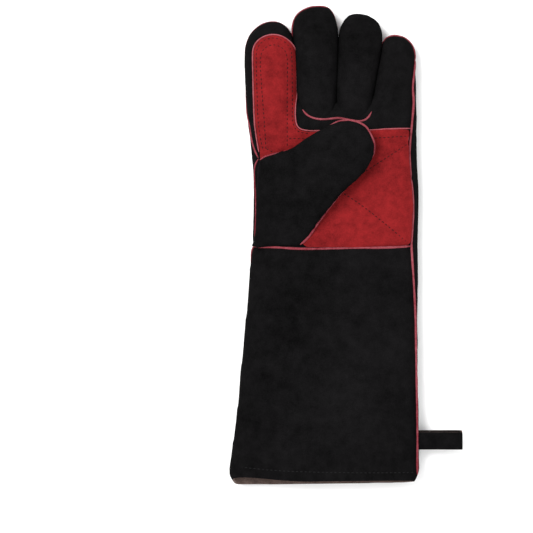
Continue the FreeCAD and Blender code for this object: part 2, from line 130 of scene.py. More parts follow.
def per_metre(size_mm: float) -> float:
    """Noise scale whose features are about this size."""
    return 1.0 / (size_mm * MM)


def bare_material(name: str) -> tuple[bpy.types.Material, bpy.types.NodeTree, bpy.types.NodeSocket]:
    """Starts a material that holds only the places on its piece.

    Args:
        name: The material's name.

    Returns:
        The material, its node tree, and the socket of Object coordinates.
    """
    material = bpy.data.materials.new(name)
    material.use_nodes = True
    tree = material.node_tree
    tree.nodes.clear()
    return material, tree, node(tree, "ShaderNodeTexCoord").outputs["Object"]


@dataclass(frozen=True)
class Suede:
    """Split cowhide, brushed to a nap: matt, with soft clouds where the nap lies another way.

    The fibre clumps are really about 0.3 mm, too fine to show, so they are drawn at fibre_mm.
    """

    name: str
    deep: str
    raised: str
    sheen: float = 0.25
    specular: float = 0.07
    fibre_mm: float = 1.1
    mottle_mm: float = 9.0
    cloud_mm: float = 55.0
    bump_mm: float = 0.22
    roughness: float = 0.92
    lift: float = 0.5
    fibre_share: float = 0.8

    def make(self) -> bpy.types.Material:
        """Builds the material.

        Returns:
            The suede: colour from clouds, mottle and fibre together, and a nap that only bumps.
        """
        material, tree, at = bare_material(self.name)
        clouds = node(
            tree, "ShaderNodeTexNoise", {"Scale": per_metre(self.cloud_mm), "Detail": 4.0}, {"Vector": at}
        )
        mottle = node(
            tree,
            "ShaderNodeTexNoise",
            {"Scale": per_metre(self.mottle_mm), "Detail": 5.0, "Roughness": 0.65},
            {"Vector": at},
        )
        fibre = node(
            tree,
            "ShaderNodeTexNoise",
            {"Scale": per_metre(self.fibre_mm), "Detail": 3.0, "Roughness": 0.7},
            {"Vector": at},
        )
        broad = node(
            tree, "ShaderNodeMath", {"operation": "ADD"}, {0: clouds.outputs["Fac"], 1: mottle.outputs["Fac"]}
        )
        summed = node(
            tree,
            "ShaderNodeMath",
            {"operation": "MULTIPLY_ADD", 1: self.fibre_share},
            {0: fibre.outputs["Fac"], 2: broad.outputs[0]},
        )
        middle = 1.0 + self.fibre_share / 2
        share = node(
            tree,
            "ShaderNodeMapRange",
            {"From Min": middle - self.lift / 2, "From Max": middle + self.lift},
            {"Value": summed.outputs[0]},
        )
        colour = node(
            tree,
            "ShaderNodeMix",
            {"data_type": "RGBA", MIX_A: linear(self.deep), MIX_B: linear(self.raised)},
            {"Factor": share.outputs["Result"]},
        )
        nap = node(
            tree,
            "ShaderNodeBump",
            {"Strength": 0.7, "Distance": self.bump_mm * MM},
            {"Height": fibre.outputs["Fac"]},
        )
        grain = node(
            tree,
            "ShaderNodeBump",
            {"Strength": 0.5, "Distance": 3 * self.bump_mm * MM},
            {"Height": mottle.outputs["Fac"], "Normal": nap.outputs["Normal"]},
        )
        shader = node(
            tree,
            "ShaderNodeBsdfPrincipled",
            {
                "Roughness": self.roughness,
                "Specular IOR Level": self.specular,
                "Sheen Weight": self.sheen,
                "Sheen Roughness": 0.6,
                "Sheen Tint": linear(self.raised),
            },
            {"Base Color": colour.outputs[2], "Normal": grain.outputs["Normal"]},
        )
        node(tree, "ShaderNodeOutputMaterial", links={"Surface": shader.outputs["BSDF"]})
        return material


@dataclass(frozen=True)
class Fleece:
    """Brushed cotton fleece on canvas: pale, dull and soft, with small tufts of about tuft_mm."""

    name: str
    colour: str
    shade: str
    tuft_mm: float = 2.2

    def make(self) -> bpy.types.Material:
        """Builds the material.

        Returns:
            The fleece: a fuzz of two tints over low round tufts.
        """
        material, tree, at = bare_material(self.name)
        tufts = node(tree, "ShaderNodeTexVoronoi", {"Scale": per_metre(self.tuft_mm)}, {"Vector": at})
        fuzz = node(
            tree, "ShaderNodeTexNoise", {"Scale": per_metre(self.tuft_mm / 2), "Detail": 4.0}, {"Vector": at}
        )
        colour = node(
            tree,
            "ShaderNodeMix",
            {"data_type": "RGBA", MIX_A: linear(self.shade), MIX_B: linear(self.colour)},
            {"Factor": fuzz.outputs["Fac"]},
        )
        soft = node(
            tree,
            "ShaderNodeBump",
            {"Strength": 0.6, "Distance": 0.4 * MM},
            {"Height": tufts.outputs["Distance"]},
        )
        shader = node(
            tree,
            "ShaderNodeBsdfPrincipled",
            {"Roughness": 0.95, "Specular IOR Level": 0.15, "Sheen Weight": 0.4},
            {"Base Color": colour.outputs[2], "Normal": soft.outputs["Normal"]},
        )
        node(tree, "ShaderNodeOutputMaterial", links={"Surface": shader.outputs["BSDF"]})
        return material


@dataclass(frozen=True)
class Thread:
    """Bonded polyester sewing thread, three plies twisted: a faint slanted rib about ply_mm apart."""

    name: str
    colour: str
    ply_mm: float = 0.5

    def make(self) -> bpy.types.Material:
        """Builds the material.

        Returns:
            The thread: one colour, with the ribs of its plies as bump.
        """
        material, tree, at = bare_material(self.name)
        plies = node(
            tree,
            "ShaderNodeTexWave",
            {"Scale": per_metre(self.ply_mm * math.tau), "bands_direction": "DIAGONAL"},
            {"Vector": at},
        )
        ribs = node(
            tree, "ShaderNodeBump", {"Strength": 0.4, "Distance": 0.1 * MM}, {"Height": plies.outputs["Fac"]}
        )
        shader = node(
            tree,
            "ShaderNodeBsdfPrincipled",
            {"Base Color": linear(self.colour), "Roughness": 0.7, "Specular IOR Level": 0.12},
            {"Normal": ribs.outputs["Normal"]},
        )
        node(tree, "ShaderNodeOutputMaterial", links={"Surface": shader.outputs["BSDF"]})
        return material


@dataclass(frozen=True)
class CoatedSteel:
    """Steel rivet under black electrophoretic paint: a satin black dome with tiny orange peel."""

    name: str
    colour: str
    peel_mm: float = 0.6

    def make(self) -> bpy.types.Material:
        """Builds the material.

        Returns:
            The paint: a roughness that wavers a little, under a thin coat.
        """
        material, tree, at = bare_material(self.name)
        peel = node(
            tree, "ShaderNodeTexNoise", {"Scale": per_metre(self.peel_mm), "Detail": 2.0}, {"Vector": at}
        )
        wear = node(
            tree, "ShaderNodeMapRange", {"To Min": 0.4, "To Max": 0.55}, {"Value": peel.outputs["Fac"]}
        )
        skin = node(
            tree, "ShaderNodeBump", {"Strength": 0.15, "Distance": 0.05 * MM}, {"Height": peel.outputs["Fac"]}
        )
        shader = node(
            tree,
            "ShaderNodeBsdfPrincipled",
            {"Base Color": linear(self.colour), "Coat Weight": 0.1, "Coat Roughness": 0.3},
            {"Roughness": wear.outputs["Result"], "Normal": skin.outputs["Normal"]},
        )
        node(tree, "ShaderNodeOutputMaterial", links={"Surface": shader.outputs["BSDF"]})
        return material


class Finish(Enum):
    """The glove's finishes, each with the material it builds and the record's slot it belongs to."""

    # The black split drinks nearly all light, so only its folds and its faint clouds show.
    BLACK = (
        Suede("black_split_suede", "020202", "191819", sheen=0.008, specular=0.022, lift=1.0),
        "black_suede",
    )
    # The red split is the bright field of the glove, mottled where the nap has been stroked.
    RED = (
        Suede("red_split_suede", "4c0a0c", "902022", sheen=0.03, mottle_mm=7.0, lift=0.8),
        "red_suede",
    )
    # The welt's colour, paler and pinker than the suede's, is a painted highlight for the light that the
    # round cord catches, so it reads like a drawn line.
    WELT = (
        Suede("red_welt_leather", "651d25", "904c54", sheen=0.1, fibre_mm=1.6, mottle_mm=4.0),
        "red_welt",
    )
    # A cut edge shows the raw middle of the hide, which takes less dye and looks chalky; its pale pink is
    # partly that and partly a painted highlight, for the light that the rounded edge catches.
    RED_EDGE = (
        Suede("red_suede_cut_edge_and_highlight", "7c343a", "9e5a60", sheen=0.12, fibre_mm=0.8, mottle_mm=3.0),
        "red_suede",
    )
    # The flesh side and the raw edge at the mouth are undyed at heart, so they show grey-brown.
    BLACK_EDGE = (
        Suede("black_suede_flesh_side", "463a36", "76655f", sheen=0.05, fibre_mm=0.8, mottle_mm=4.0),
        "black_suede",
    )
    LINING = (Fleece("brushed_cotton_lining", "b9b4a8", "8f8a7e"), "lining")
    DARK_THREAD = (Thread("maroon_sewing_thread", "200608"), "red_suede")
    BLACK_THREAD = (Thread("black_sewing_thread", "161617"), "black_suede")
    GREY_THREAD = (Thread("grey_sewing_thread", "4c4c50"), "black_suede")
    RIVET = (CoatedSteel("black_coated_rivet_steel", "0b0b0c"), "rivet")

    def material(self) -> bpy.types.Material:
        """The finish's material, made once."""
        recipe = self.value[0]
        return bpy.data.materials.get(recipe.name) or recipe.make()

    def slot(self) -> str:
        """The record's material slot."""
        return self.value[1]


# ---------------------------------------------------------------- modelling helpers


def deselect() -> None:
    """Leaves nothing selected."""
    bpy.ops.object.select_all(action="DESELECT")


def activate(piece: bpy.types.Object) -> None:
    """Selects one object alone and makes it active.

    Args:
        piece: The object.
    """
    deselect()
    piece.select_set(True)
    bpy.context.view_layer.objects.active = piece


def modify(piece: bpy.types.Object, kind: str, **settings: object) -> None:
    """Adds a modifier and applies it.

    Args:
        piece: What it works on.
        kind: The modifier's type, such as "SOLIDIFY".
        **settings: The modifier's properties.
    """
    modifier = piece.modifiers.new(kind, kind)
    for key, value in settings.items():
        setattr(modifier, key, value)
    activate(piece)
    bpy.ops.object.modifier_apply(modifier=modifier.name)


def points_of(piece: bpy.types.Object) -> np.ndarray:
    """Reads a mesh's vertices.

    Args:
        piece: The object to read.

    Returns:
        One row of x, y, z in metres for each vertex.
    """
    flat = np.empty(len(piece.data.vertices) * 3)
    piece.data.vertices.foreach_get("co", flat)
    return flat.reshape(-1, 3)


def move_points(piece: bpy.types.Object, places: np.ndarray) -> None:
    """Gives every vertex a new place."""
    piece.data.vertices.foreach_set("co", places.astype(float).ravel())
    piece.data.update()


def smooth(piece: bpy.types.Object, degrees: float = 45.0) -> None:
    """Shades smooth, with edges sharper than the angle kept crisp."""
    activate(piece)
    bpy.ops.object.shade_smooth_by_angle(angle=math.radians(degrees))


def new_piece(name: str, vertices: Iterable, faces: Iterable) -> bpy.types.Object:
    """Links an object with a mesh of its own to the scene.

    Args:
        name: The name of object and mesh.
        vertices: Places in metres.
        faces: Rows of vertex numbers.

    Returns:
        The new object.
    """
    mesh = bpy.data.meshes.new(name)
    mesh.from_pydata([tuple(v) for v in vertices], [], [tuple(f) for f in faces])
    mesh.update()
    piece = bpy.data.objects.new(name, mesh)
    bpy.context.scene.collection.objects.link(piece)
    return piece


def join(name: str, pieces: Sequence[bpy.types.Object]) -> bpy.types.Object:
    """Joins objects into the first.

    Args:
        name: The joined object's name.
        pieces: The objects to join.

    Returns:
        The first object, which now holds all.
    """
    deselect()
    for piece in pieces:
        piece.select_set(True)
    bpy.context.view_layer.objects.active = pieces[0]
    bpy.ops.object.join()
    pieces[0].name = name
    pieces[0].data.name = name
    return pieces[0]


def dress(piece: bpy.types.Object, finish: Finish, *more: Finish) -> None:
    """Gives a piece its finish.

    Args:
        piece: What is dressed.
        finish: The finish of its faces.
        *more: Finishes of the faces with a material index above 0.
    """
    piece.data.materials.clear()
    for each in (finish, *more):
        piece.data.materials.append(each.material())


def smoothstep(value: np.ndarray, low: float, high: float) -> np.ndarray:
    """Rises softly from 0 to 1.

    Args:
        value: The places to weigh.
        low: Where the rise starts.
        high: Where it ends.

    Returns:
        0 below low, 1 above high, and a soft rise between.
    """
    t = np.clip((value - low) / (high - low), 0, 1)
    return t * t * (3 - 2 * t)


def spline(points: Sequence[Sequence[float]], spacing: float) -> np.ndarray:
    """A smooth line through points, as evenly spaced places.

    Args:
        points: Places that the line passes through, in two or three coordinates.
        spacing: Distance between the places given back.

    Returns:
        One row for each place.
    """
    p = np.array(points, float)
    count = len(p)
    dense = []
    steps_between = 24
    for i in range(count - 1):
        a, b, c, d = (p[min(max(i + k, 0), count - 1)] for k in (-1, 0, 1, 2))
        for t in np.linspace(0, 1, steps_between, endpoint=False):
            square = (2 * a - 5 * b + 4 * c - d) * t**2
            cube = (3 * b - a - 3 * c + d) * t**3
            dense.append(0.5 * (2 * b + (c - a) * t + square + cube))
    dense.append(p[-1])
    dense = np.array(dense)
    run = np.concatenate([[0], np.cumsum(np.linalg.norm(np.diff(dense, axis=0), axis=1))])
    steps = max(2, int(round(run[-1] / spacing)) + 1)
    at = np.linspace(0, run[-1], steps)
    return np.stack([np.interp(at, run, dense[:, k]) for k in range(dense.shape[1])], axis=1)


def distance_to_lines(places: np.ndarray, lines: Sequence[np.ndarray]) -> np.ndarray:
    """Measures in plan how far places are from lines.

    Args:
        places: One row for each place.
        lines: Polylines, one row for each point.

    Returns:
        The distance from each place to the nearest line.
    """
    best = np.full(len(places), 1e9)
    for line in lines:
        a, b = line[:-1, :2], line[1:, :2]
        d = b - a
        length = np.maximum((d**2).sum(1), 1e-12)
        for start, step, square in zip(a, d, length):
            t = np.clip(((places[:, :2] - start) @ step) / square, 0, 1)
            best = np.minimum(best, np.linalg.norm(places[:, :2] - start - t[:, None] * step, axis=1))
    return best


class Surface:
    """The outer surface of some pieces, to lay sheets, welts and stitches on."""

    def __init__(self, *pieces: bpy.types.Object) -> None:
        """Reads meshes as they are now.

        Args:
            *pieces: The objects whose faces make the surface.
        """
        vertices, faces = [], []
        for piece in pieces:
            base = len(vertices)
            vertices += [v.co.copy() for v in piece.data.vertices]
            faces += [[base + i for i in f.vertices] for f in piece.data.polygons]
        self.tree = BVHTree.FromPolygons(vertices, faces)

    def drop(self, x: float, y: float, below: bool = False) -> tuple[Vector, Vector]:
        """Where a plumb line through x, y first meets the surface.

        Args:
            x: Place across, in metres.
            y: Place along, in metres.
            below: Whether it comes from under the glove.

        Returns:
            The place and the normal there.
        """
        side = -1.0 if below else 1.0
        place, normal, _, _ = self.tree.ray_cast(Vector((x, y, side)), Vector((0, 0, -side)))
        if place is None:
            place, normal, _, _ = self.tree.find_nearest(Vector((x, y, MID_HEIGHT_M)))
        return place, normal

    def nearest(self, place: Sequence[float]) -> tuple[Vector, Vector]:
        """The surface's nearest place and its normal."""
        found, normal, _, _ = self.tree.find_nearest(Vector(place))
        return found, normal


# ---------------------------------------------------------------- soft shells


@dataclass(frozen=True)
class Station:
    """One ring of a shell: its place along the shell, its two sides, and its lowest and highest level."""

    along: float
    left: float
    right: float
    low: float
    high: float


@dataclass
class Shell:
    """A closed soft form through a row of rings, like a stuffed tube sewn at its two sides.

    squareness is the exponent of a ring's rounded outline: 2 is an ellipse, and 4 is nearly a box.
    """

    name: str
    stations: Sequence[Station]
    squareness: float = 2.5
    ring_points: int = 28
    voxel: float = 4.0
    pressure: float = 4.0
    cap: float = 2.5
    held_below: float | None = None
    place: Matrix = field(default_factory=lambda: Matrix.Identity(4))

    def loft(self) -> bpy.types.Object:
        """Extrudes a ring from station to station and rounds the result.

        Returns:
            The smooth closed shell.
        """
        first = self.stations[0]
        deselect()
        bpy.ops.mesh.primitive_circle_add(
            vertices=self.ring_points, radius=1.0, fill_type="NGON", rotation=(math.radians(90), 0, 0)
        )
        piece = bpy.context.object
        piece.name = self.name
        bpy.ops.object.transform_apply(location=True, rotation=True, scale=True)
        bpy.ops.object.mode_set(mode="EDIT")
        self._square_off(piece)
        bpy.ops.mesh.select_all(action="SELECT")
        half_width, half_height = (first.right - first.left) / 2 * MM, (first.high - first.low) / 2 * MM
        bpy.ops.transform.resize(value=(half_width, 1, half_height), center_override=(0, 0, 0))
        bpy.ops.transform.translate(value=self._middle(first))
        for before, now in zip(self.stations, self.stations[1:]):
            step = self._middle(now) - self._middle(before)
            bpy.ops.mesh.extrude_region_move(TRANSFORM_OT_translate={"value": step})
            wide = (now.right - now.left) / (before.right - before.left)
            tall = (now.high - now.low) / (before.high - before.low)
            bpy.ops.transform.resize(value=(wide, 1, tall), center_override=self._middle(now))
        bpy.ops.mesh.select_all(action="SELECT")
        bpy.ops.mesh.normals_make_consistent(inside=False)
        bpy.ops.object.mode_set(mode="OBJECT")
        modify(piece, "SUBSURF", levels=2, render_levels=2)
        return piece

    @staticmethod
    def _middle(station: Station) -> Vector:
        """The middle of a station's box, in metres."""
        across, up = (station.left + station.right) / 2, (station.low + station.high) / 2
        return Vector((across, station.along, up)) * MM

    def _square_off(self, piece: bpy.types.Object) -> None:
        """Turns the round starting ring to a rounded box outline of half-size 1.

        Args:
            piece: The ring, in edit mode.
        """
        ring = bmesh.from_edit_mesh(piece.data)
        power = 2 / self.squareness
        for vertex in ring.verts:
            x, z = vertex.co.x, vertex.co.z
            vertex.co.x = math.copysign(abs(x) ** power, x)
            vertex.co.z = math.copysign(abs(z) ** power, z)
        bmesh.update_edit_mesh(piece.data)

    def build(self) -> bpy.types.Object:
        """Lofts the shell, remeshes it evenly, lets it swell as cloth, and smooths it.

        Returns:
            The soft closed shell, at rest on the floor plane.
        """
        piece = self.loft()
        modify(piece, "REMESH", mode="VOXEL", voxel_size=self.voxel * MM)
        swell(piece, self.pressure, self.cap * MM, self.held_below)
        modify(piece, "SUBSURF", levels=1, render_levels=1)
        piece.data.transform(self.place)
        settle(piece)
        return piece


def swell(
    piece: bpy.types.Object,
    pressure: float,
    cap: float,
    held_below: float | None = None,
    held: Callable[[np.ndarray], np.ndarray] | None = None,
) -> None:
    """Inflates a closed mesh as cloth without weight, and keeps the settled shape.

    Args:
        piece: The mesh, evenly meshed.
        pressure: Cloth pressure inside it.
        cap: The furthest that a point may move, in metres.
        held_below: Points with a lower y than this, in millimetres, stay where they are.
        held: Gives each point's share of being held, in place of held_below.
    """
    before = points_of(piece)
    weights = np.zeros(len(before))
    if held_below is not None:
        weights[before[:, 1] < held_below * MM] = 1
    if held is not None:
        weights = held(before)
    modifier = piece.modifiers.new("Cloth", "CLOTH")
    cloth = modifier.settings
    if weights.any():
        group = piece.vertex_groups.new(name="held")
        for index in np.flatnonzero(weights > 0):
            group.add([int(index)], float(weights[index]), "REPLACE")
        cloth.vertex_group_mass = "held"
    for key, value in LEATHER_CLOTH.items():
        setattr(cloth, key, value)
    cloth.use_pressure = True
    cloth.uniform_pressure_force = pressure
    cloth.effector_weights.gravity = 0
    scene = bpy.context.scene
    for number in range(1, CLOTH_FRAMES + 1):
        scene.frame_set(number)
    activate(piece)
    bpy.ops.object.modifier_apply(modifier=modifier.name)
    scene.frame_set(1)
    moved = points_of(piece) - before
    length = np.linalg.norm(moved, axis=1)
    share = cap * np.tanh(length / cap) / np.maximum(length, 1e-9)
    move_points(piece, before + moved * share[:, None])
    piece.vertex_groups.clear()


def lie_on(height: np.ndarray, layer: float) -> np.ndarray:
    """Squeezes what would lie under a surface into a thin layer above it.

    Args:
        height: Heights above the surface, or below it.
        layer: The layer's thickness.

    Returns:
        The heights, none of them below 0.
    """
    return np.where(height < layer, layer * np.exp(np.minimum(height - layer, 0) / layer), height)


def settle(piece: bpy.types.Object) -> None:
    """Flattens what would lie under the floor plane.

    Args:
        piece: The shell that comes to rest there.
    """
    places = points_of(piece)
    places[:, 2] = lie_on(places[:, 2], 1.5 * MM)
    move_points(piece, places)


def crumple(piece: bpy.types.Object, size_mm: float, depth_mm: float) -> None:
    """Pushes a shell in and out in soft clouds, as leather that has been folded and shipped.

    Args:
        piece: The shell.
        size_mm: The size of the dents.
        depth_mm: How far the deepest dent is from the highest swell.
    """
    clouds = bpy.data.textures.new(f"{piece.name}_clouds", "CLOUDS")
    clouds.noise_scale = size_mm * MM
    clouds.noise_depth = 1
    modify(piece, "DISPLACE", texture=clouds, strength=depth_mm * MM, mid_level=0.5, texture_coords="LOCAL")
    bpy.data.textures.remove(clouds)


# ---------------------------------------------------------------- seams, welts and stitches


class Crossing(Enum):
    """A soft stretch of leather from one body to the next: the two bodies, and where it starts and ends."""

    WRIST = ("hand", "cuff", (0.0, -46.0, 0.0), (0.0, -70.0, 0.0))
    # The finger crossings start just short of the knuckle line and end where the stalls have left the palm.
    INDEX = ("hand", "index", (0.0, 50.0, 0.0), (0.0, 66.0, 0.0))
    MIDDLE = ("hand", "middle", (0.0, 50.0, 0.0), (0.0, 66.0, 0.0))
    RING = ("hand", "ring", (0.0, 50.0, 0.0), (0.0, 66.0, 0.0))
    LITTLE = ("hand", "little", (0.0, 50.0, 0.0), (0.0, 66.0, 0.0))
    THUMB = ("hand", "thumb", (-54.2, -23.4, 0.0), (-36.2, -14.6, 0.0))
    LOOP = ("cuff", "loop", (72.5, 0.0, 0.0), (78.5, 0.0, 0.0))

    def carry(self, *pieces: bpy.types.Object) -> None:
        """Bakes each piece's place into its mesh; nothing bends it over this stretch.

        Args:
            *pieces: The pieces over this stretch.
        """
        for piece in pieces:
            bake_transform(piece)


@dataclass(frozen=True)
class Seam:
    """A line on the glove, laid on its surface.

    Points with two coordinates are dropped on the palm side, or on the back if below is set. A third
    coordinate under top gives a height, and the point goes to the surface nearest to it. calm is how often
    the laid line is smoothed.
    """

    points: Sequence[Sequence[float]]
    spacing: float = 2.0
    below: bool = False
    top: float = 24.0
    calm: int = 3

    def lay(self, surface: Surface, lift: float = 0.0) -> tuple[np.ndarray, np.ndarray]:
        """Finds the line's places and normals on a surface.

        Args:
            surface: What the line lies on.
            lift: How far above it the line runs, in millimetres.

        Returns:
            The places and the normals, one row each, in metres.
        """
        found = []
        for p in spline(self.points, self.spacing) * MM:
            beside = len(p) == 3 and p[2] < self.top * MM
            found.append(surface.nearest(p) if beside else surface.drop(p[0], p[1], self.below))
        places = np.array([f[0] for f in found])
        normals = np.array([f[1] for f in found])
        for _ in range(self.calm):
            places[1:-1] = (places[:-2] + 2 * places[1:-1] + places[2:]) / 4
            normals[1:-1] = (normals[:-2] + 2 * normals[1:-1] + normals[2:]) / 4
        normals /= np.maximum(np.linalg.norm(normals, axis=1), 1e-9)[:, None]
        return places + normals * lift * MM, normals


@dataclass(frozen=True)
class Welt:
    """A folded strip of red leather caught in a seam, seen as a thin cord whose thickness wavers a little."""

    name: str
    seam: Seam
    radius: float = 1.0
    lift: float = 0.3
    # The welts' default finish is painted paler and pinker, a painted highlight along each cord.
    finish: Finish = Finish.WELT
    waver: float = 0.06

    def build(self, surface: Surface) -> bpy.types.Object:
        """Lays the welt on a surface as a thin tube with closed, tapering ends.

        Args:
            surface: The leather whose seam it stands in.

        Returns:
            The dressed welt.
        """
        places, _ = self.seam.lay(surface, self.lift)
        curve = bpy.data.curves.new(self.name, "CURVE")
        curve.dimensions = "3D"
        line = curve.splines.new("POLY")
        line.points.add(len(places) - 1)
        for i, (point, place) in enumerate(zip(line.points, places)):
            point.co = (*place, 1)
            waves = math.sin(i * 0.9) + math.sin(i * 0.37 + 1.3) + math.sin(i * 0.21 + len(self.name))
            from_end = min(i, len(places) - 1 - i)
            taper = min(1.0, 0.35 + 0.3 * from_end)
            point.radius = (1 + self.waver * waves) * taper
        curve.bevel_depth = self.radius * MM
        curve.bevel_resolution = 2
        curve.use_fill_caps = True
        piece = bpy.data.objects.new(self.name, curve)
        bpy.context.scene.collection.objects.link(piece)
        activate(piece)
        bpy.ops.object.convert(target="MESH")
        smooth(piece, 60)
        dress(piece, self.finish)
        return piece


def press(piece: bpy.types.Object, line: np.ndarray, depth: float, reach: float) -> None:
    """Draws a shell in along a sewn line.

    Args:
        piece: The shell.
        line: Places along the seam, in metres.
        depth: How far the line itself sinks, in millimetres.
        reach: How far from the line the groove is felt, in millimetres.
    """
    places = points_of(piece)
    normals = np.empty(len(places) * 3)
    piece.data.vertex_normals.foreach_get("vector", normals)
    near = distance_to_lines(places, [line])
    sunk = depth * MM * np.exp(-((near / (reach * MM)) ** 2))
    move_points(piece, places - normals.reshape(-1, 3) * sunk[:, None])


@dataclass(frozen=True)
class Stitching:
    """A row of lockstitches, each a short thread that dips into the leather at both ends."""

    name: str
    finish: Finish
    pitch: float = 3.6
    length: float = 2.7
    thickness: float = 0.8

    def one(self) -> bpy.types.Object:
        """Models a single stitch along x.

        Returns:
            The stitch, a few dozen faces, highest in its middle.
        """
        deselect()
        bpy.ops.mesh.primitive_uv_sphere_add(
            segments=6, ring_count=5, radius=0.5, rotation=(0, math.radians(90), 0)
        )
        piece = bpy.context.object
        bpy.ops.object.transform_apply(location=True, rotation=True, scale=True)
        bpy.ops.object.mode_set(mode="EDIT")
        girth = self.thickness * MM
        bpy.ops.transform.resize(value=(self.length * MM, girth, girth), center_override=(0, 0, 0))
        bpy.ops.object.mode_set(mode="OBJECT")
        places = points_of(piece)
        places[:, 2] -= 0.35 * self.thickness * MM * (2 * places[:, 0] / (self.length * MM)) ** 2
        move_points(piece, places)
        return piece

    def sew(self, rows: Sequence[tuple[np.ndarray, np.ndarray]]) -> bpy.types.Object:
        """Copies the stitch along rows.

        Args:
            rows: Places and normals along each row, in metres.

        Returns:
            All the stitches as one piece.
        """
        pattern = self.one()
        sewn = bmesh.new()
        for places, normals in rows:
            run = np.concatenate([[0], np.cumsum(np.linalg.norm(np.diff(places, axis=0), axis=1))])
            for at in np.arange(self.pitch / 2 * MM, run[-1] - self.pitch / 3 * MM, self.pitch * MM):
                here = Vector([np.interp(at, run, places[:, k]) for k in range(3)])
                ahead = Vector([np.interp(at + 0.8 * MM, run, places[:, k]) for k in range(3)])
                up = Vector([np.interp(at, run, normals[:, k]) for k in range(3)]).normalized()
                along = (ahead - here).normalized()
                side = up.cross(along).normalized()
                turn = Matrix((along, side, along.cross(side))).transposed().to_4x4()
                start = len(sewn.verts)
                sewn.from_mesh(pattern.data)
                sewn.verts.ensure_lookup_table()
                bmesh.ops.transform(sewn, matrix=Matrix.Translation(here) @ turn, verts=sewn.verts[start:])
        mesh = bpy.data.meshes.new(self.name)
        sewn.to_mesh(mesh)
        sewn.free()
        bpy.data.objects.remove(pattern)
        piece = bpy.data.objects.new(self.name, mesh)
        bpy.context.scene.collection.objects.link(piece)
        smooth(piece, 80)
        dress(piece, self.finish)
        return piece


# ---------------------------------------------------------------- the glove's leather


def rings(*rows: tuple[float, float, float, float, float]) -> tuple[Station, ...]:
    """Turns rows of along, left, right, low, high to stations."""
    return tuple(Station(*row) for row in rows)


@dataclass
class Assembly:
    """A sub-assembly of the glove, which keeps its finished pieces by name."""

    pieces: dict[str, bpy.types.Object] = field(default_factory=dict, init=False)

    def keep(self, *finished: bpy.types.Object) -> None:
        """Keeps finished pieces."""
        self.pieces.update({piece.name: piece for piece in finished})

    def report(self) -> None:
        """Logs each piece with its faces and its extent."""
        for name, piece in self.pieces.items():
            places = points_of(piece) / MM
            low, high = places.min(0).round(1), places.max(0).round(1)
            LOG.info("%s: %d faces, from %s to %s", name, len(piece.data.polygons), low, high)


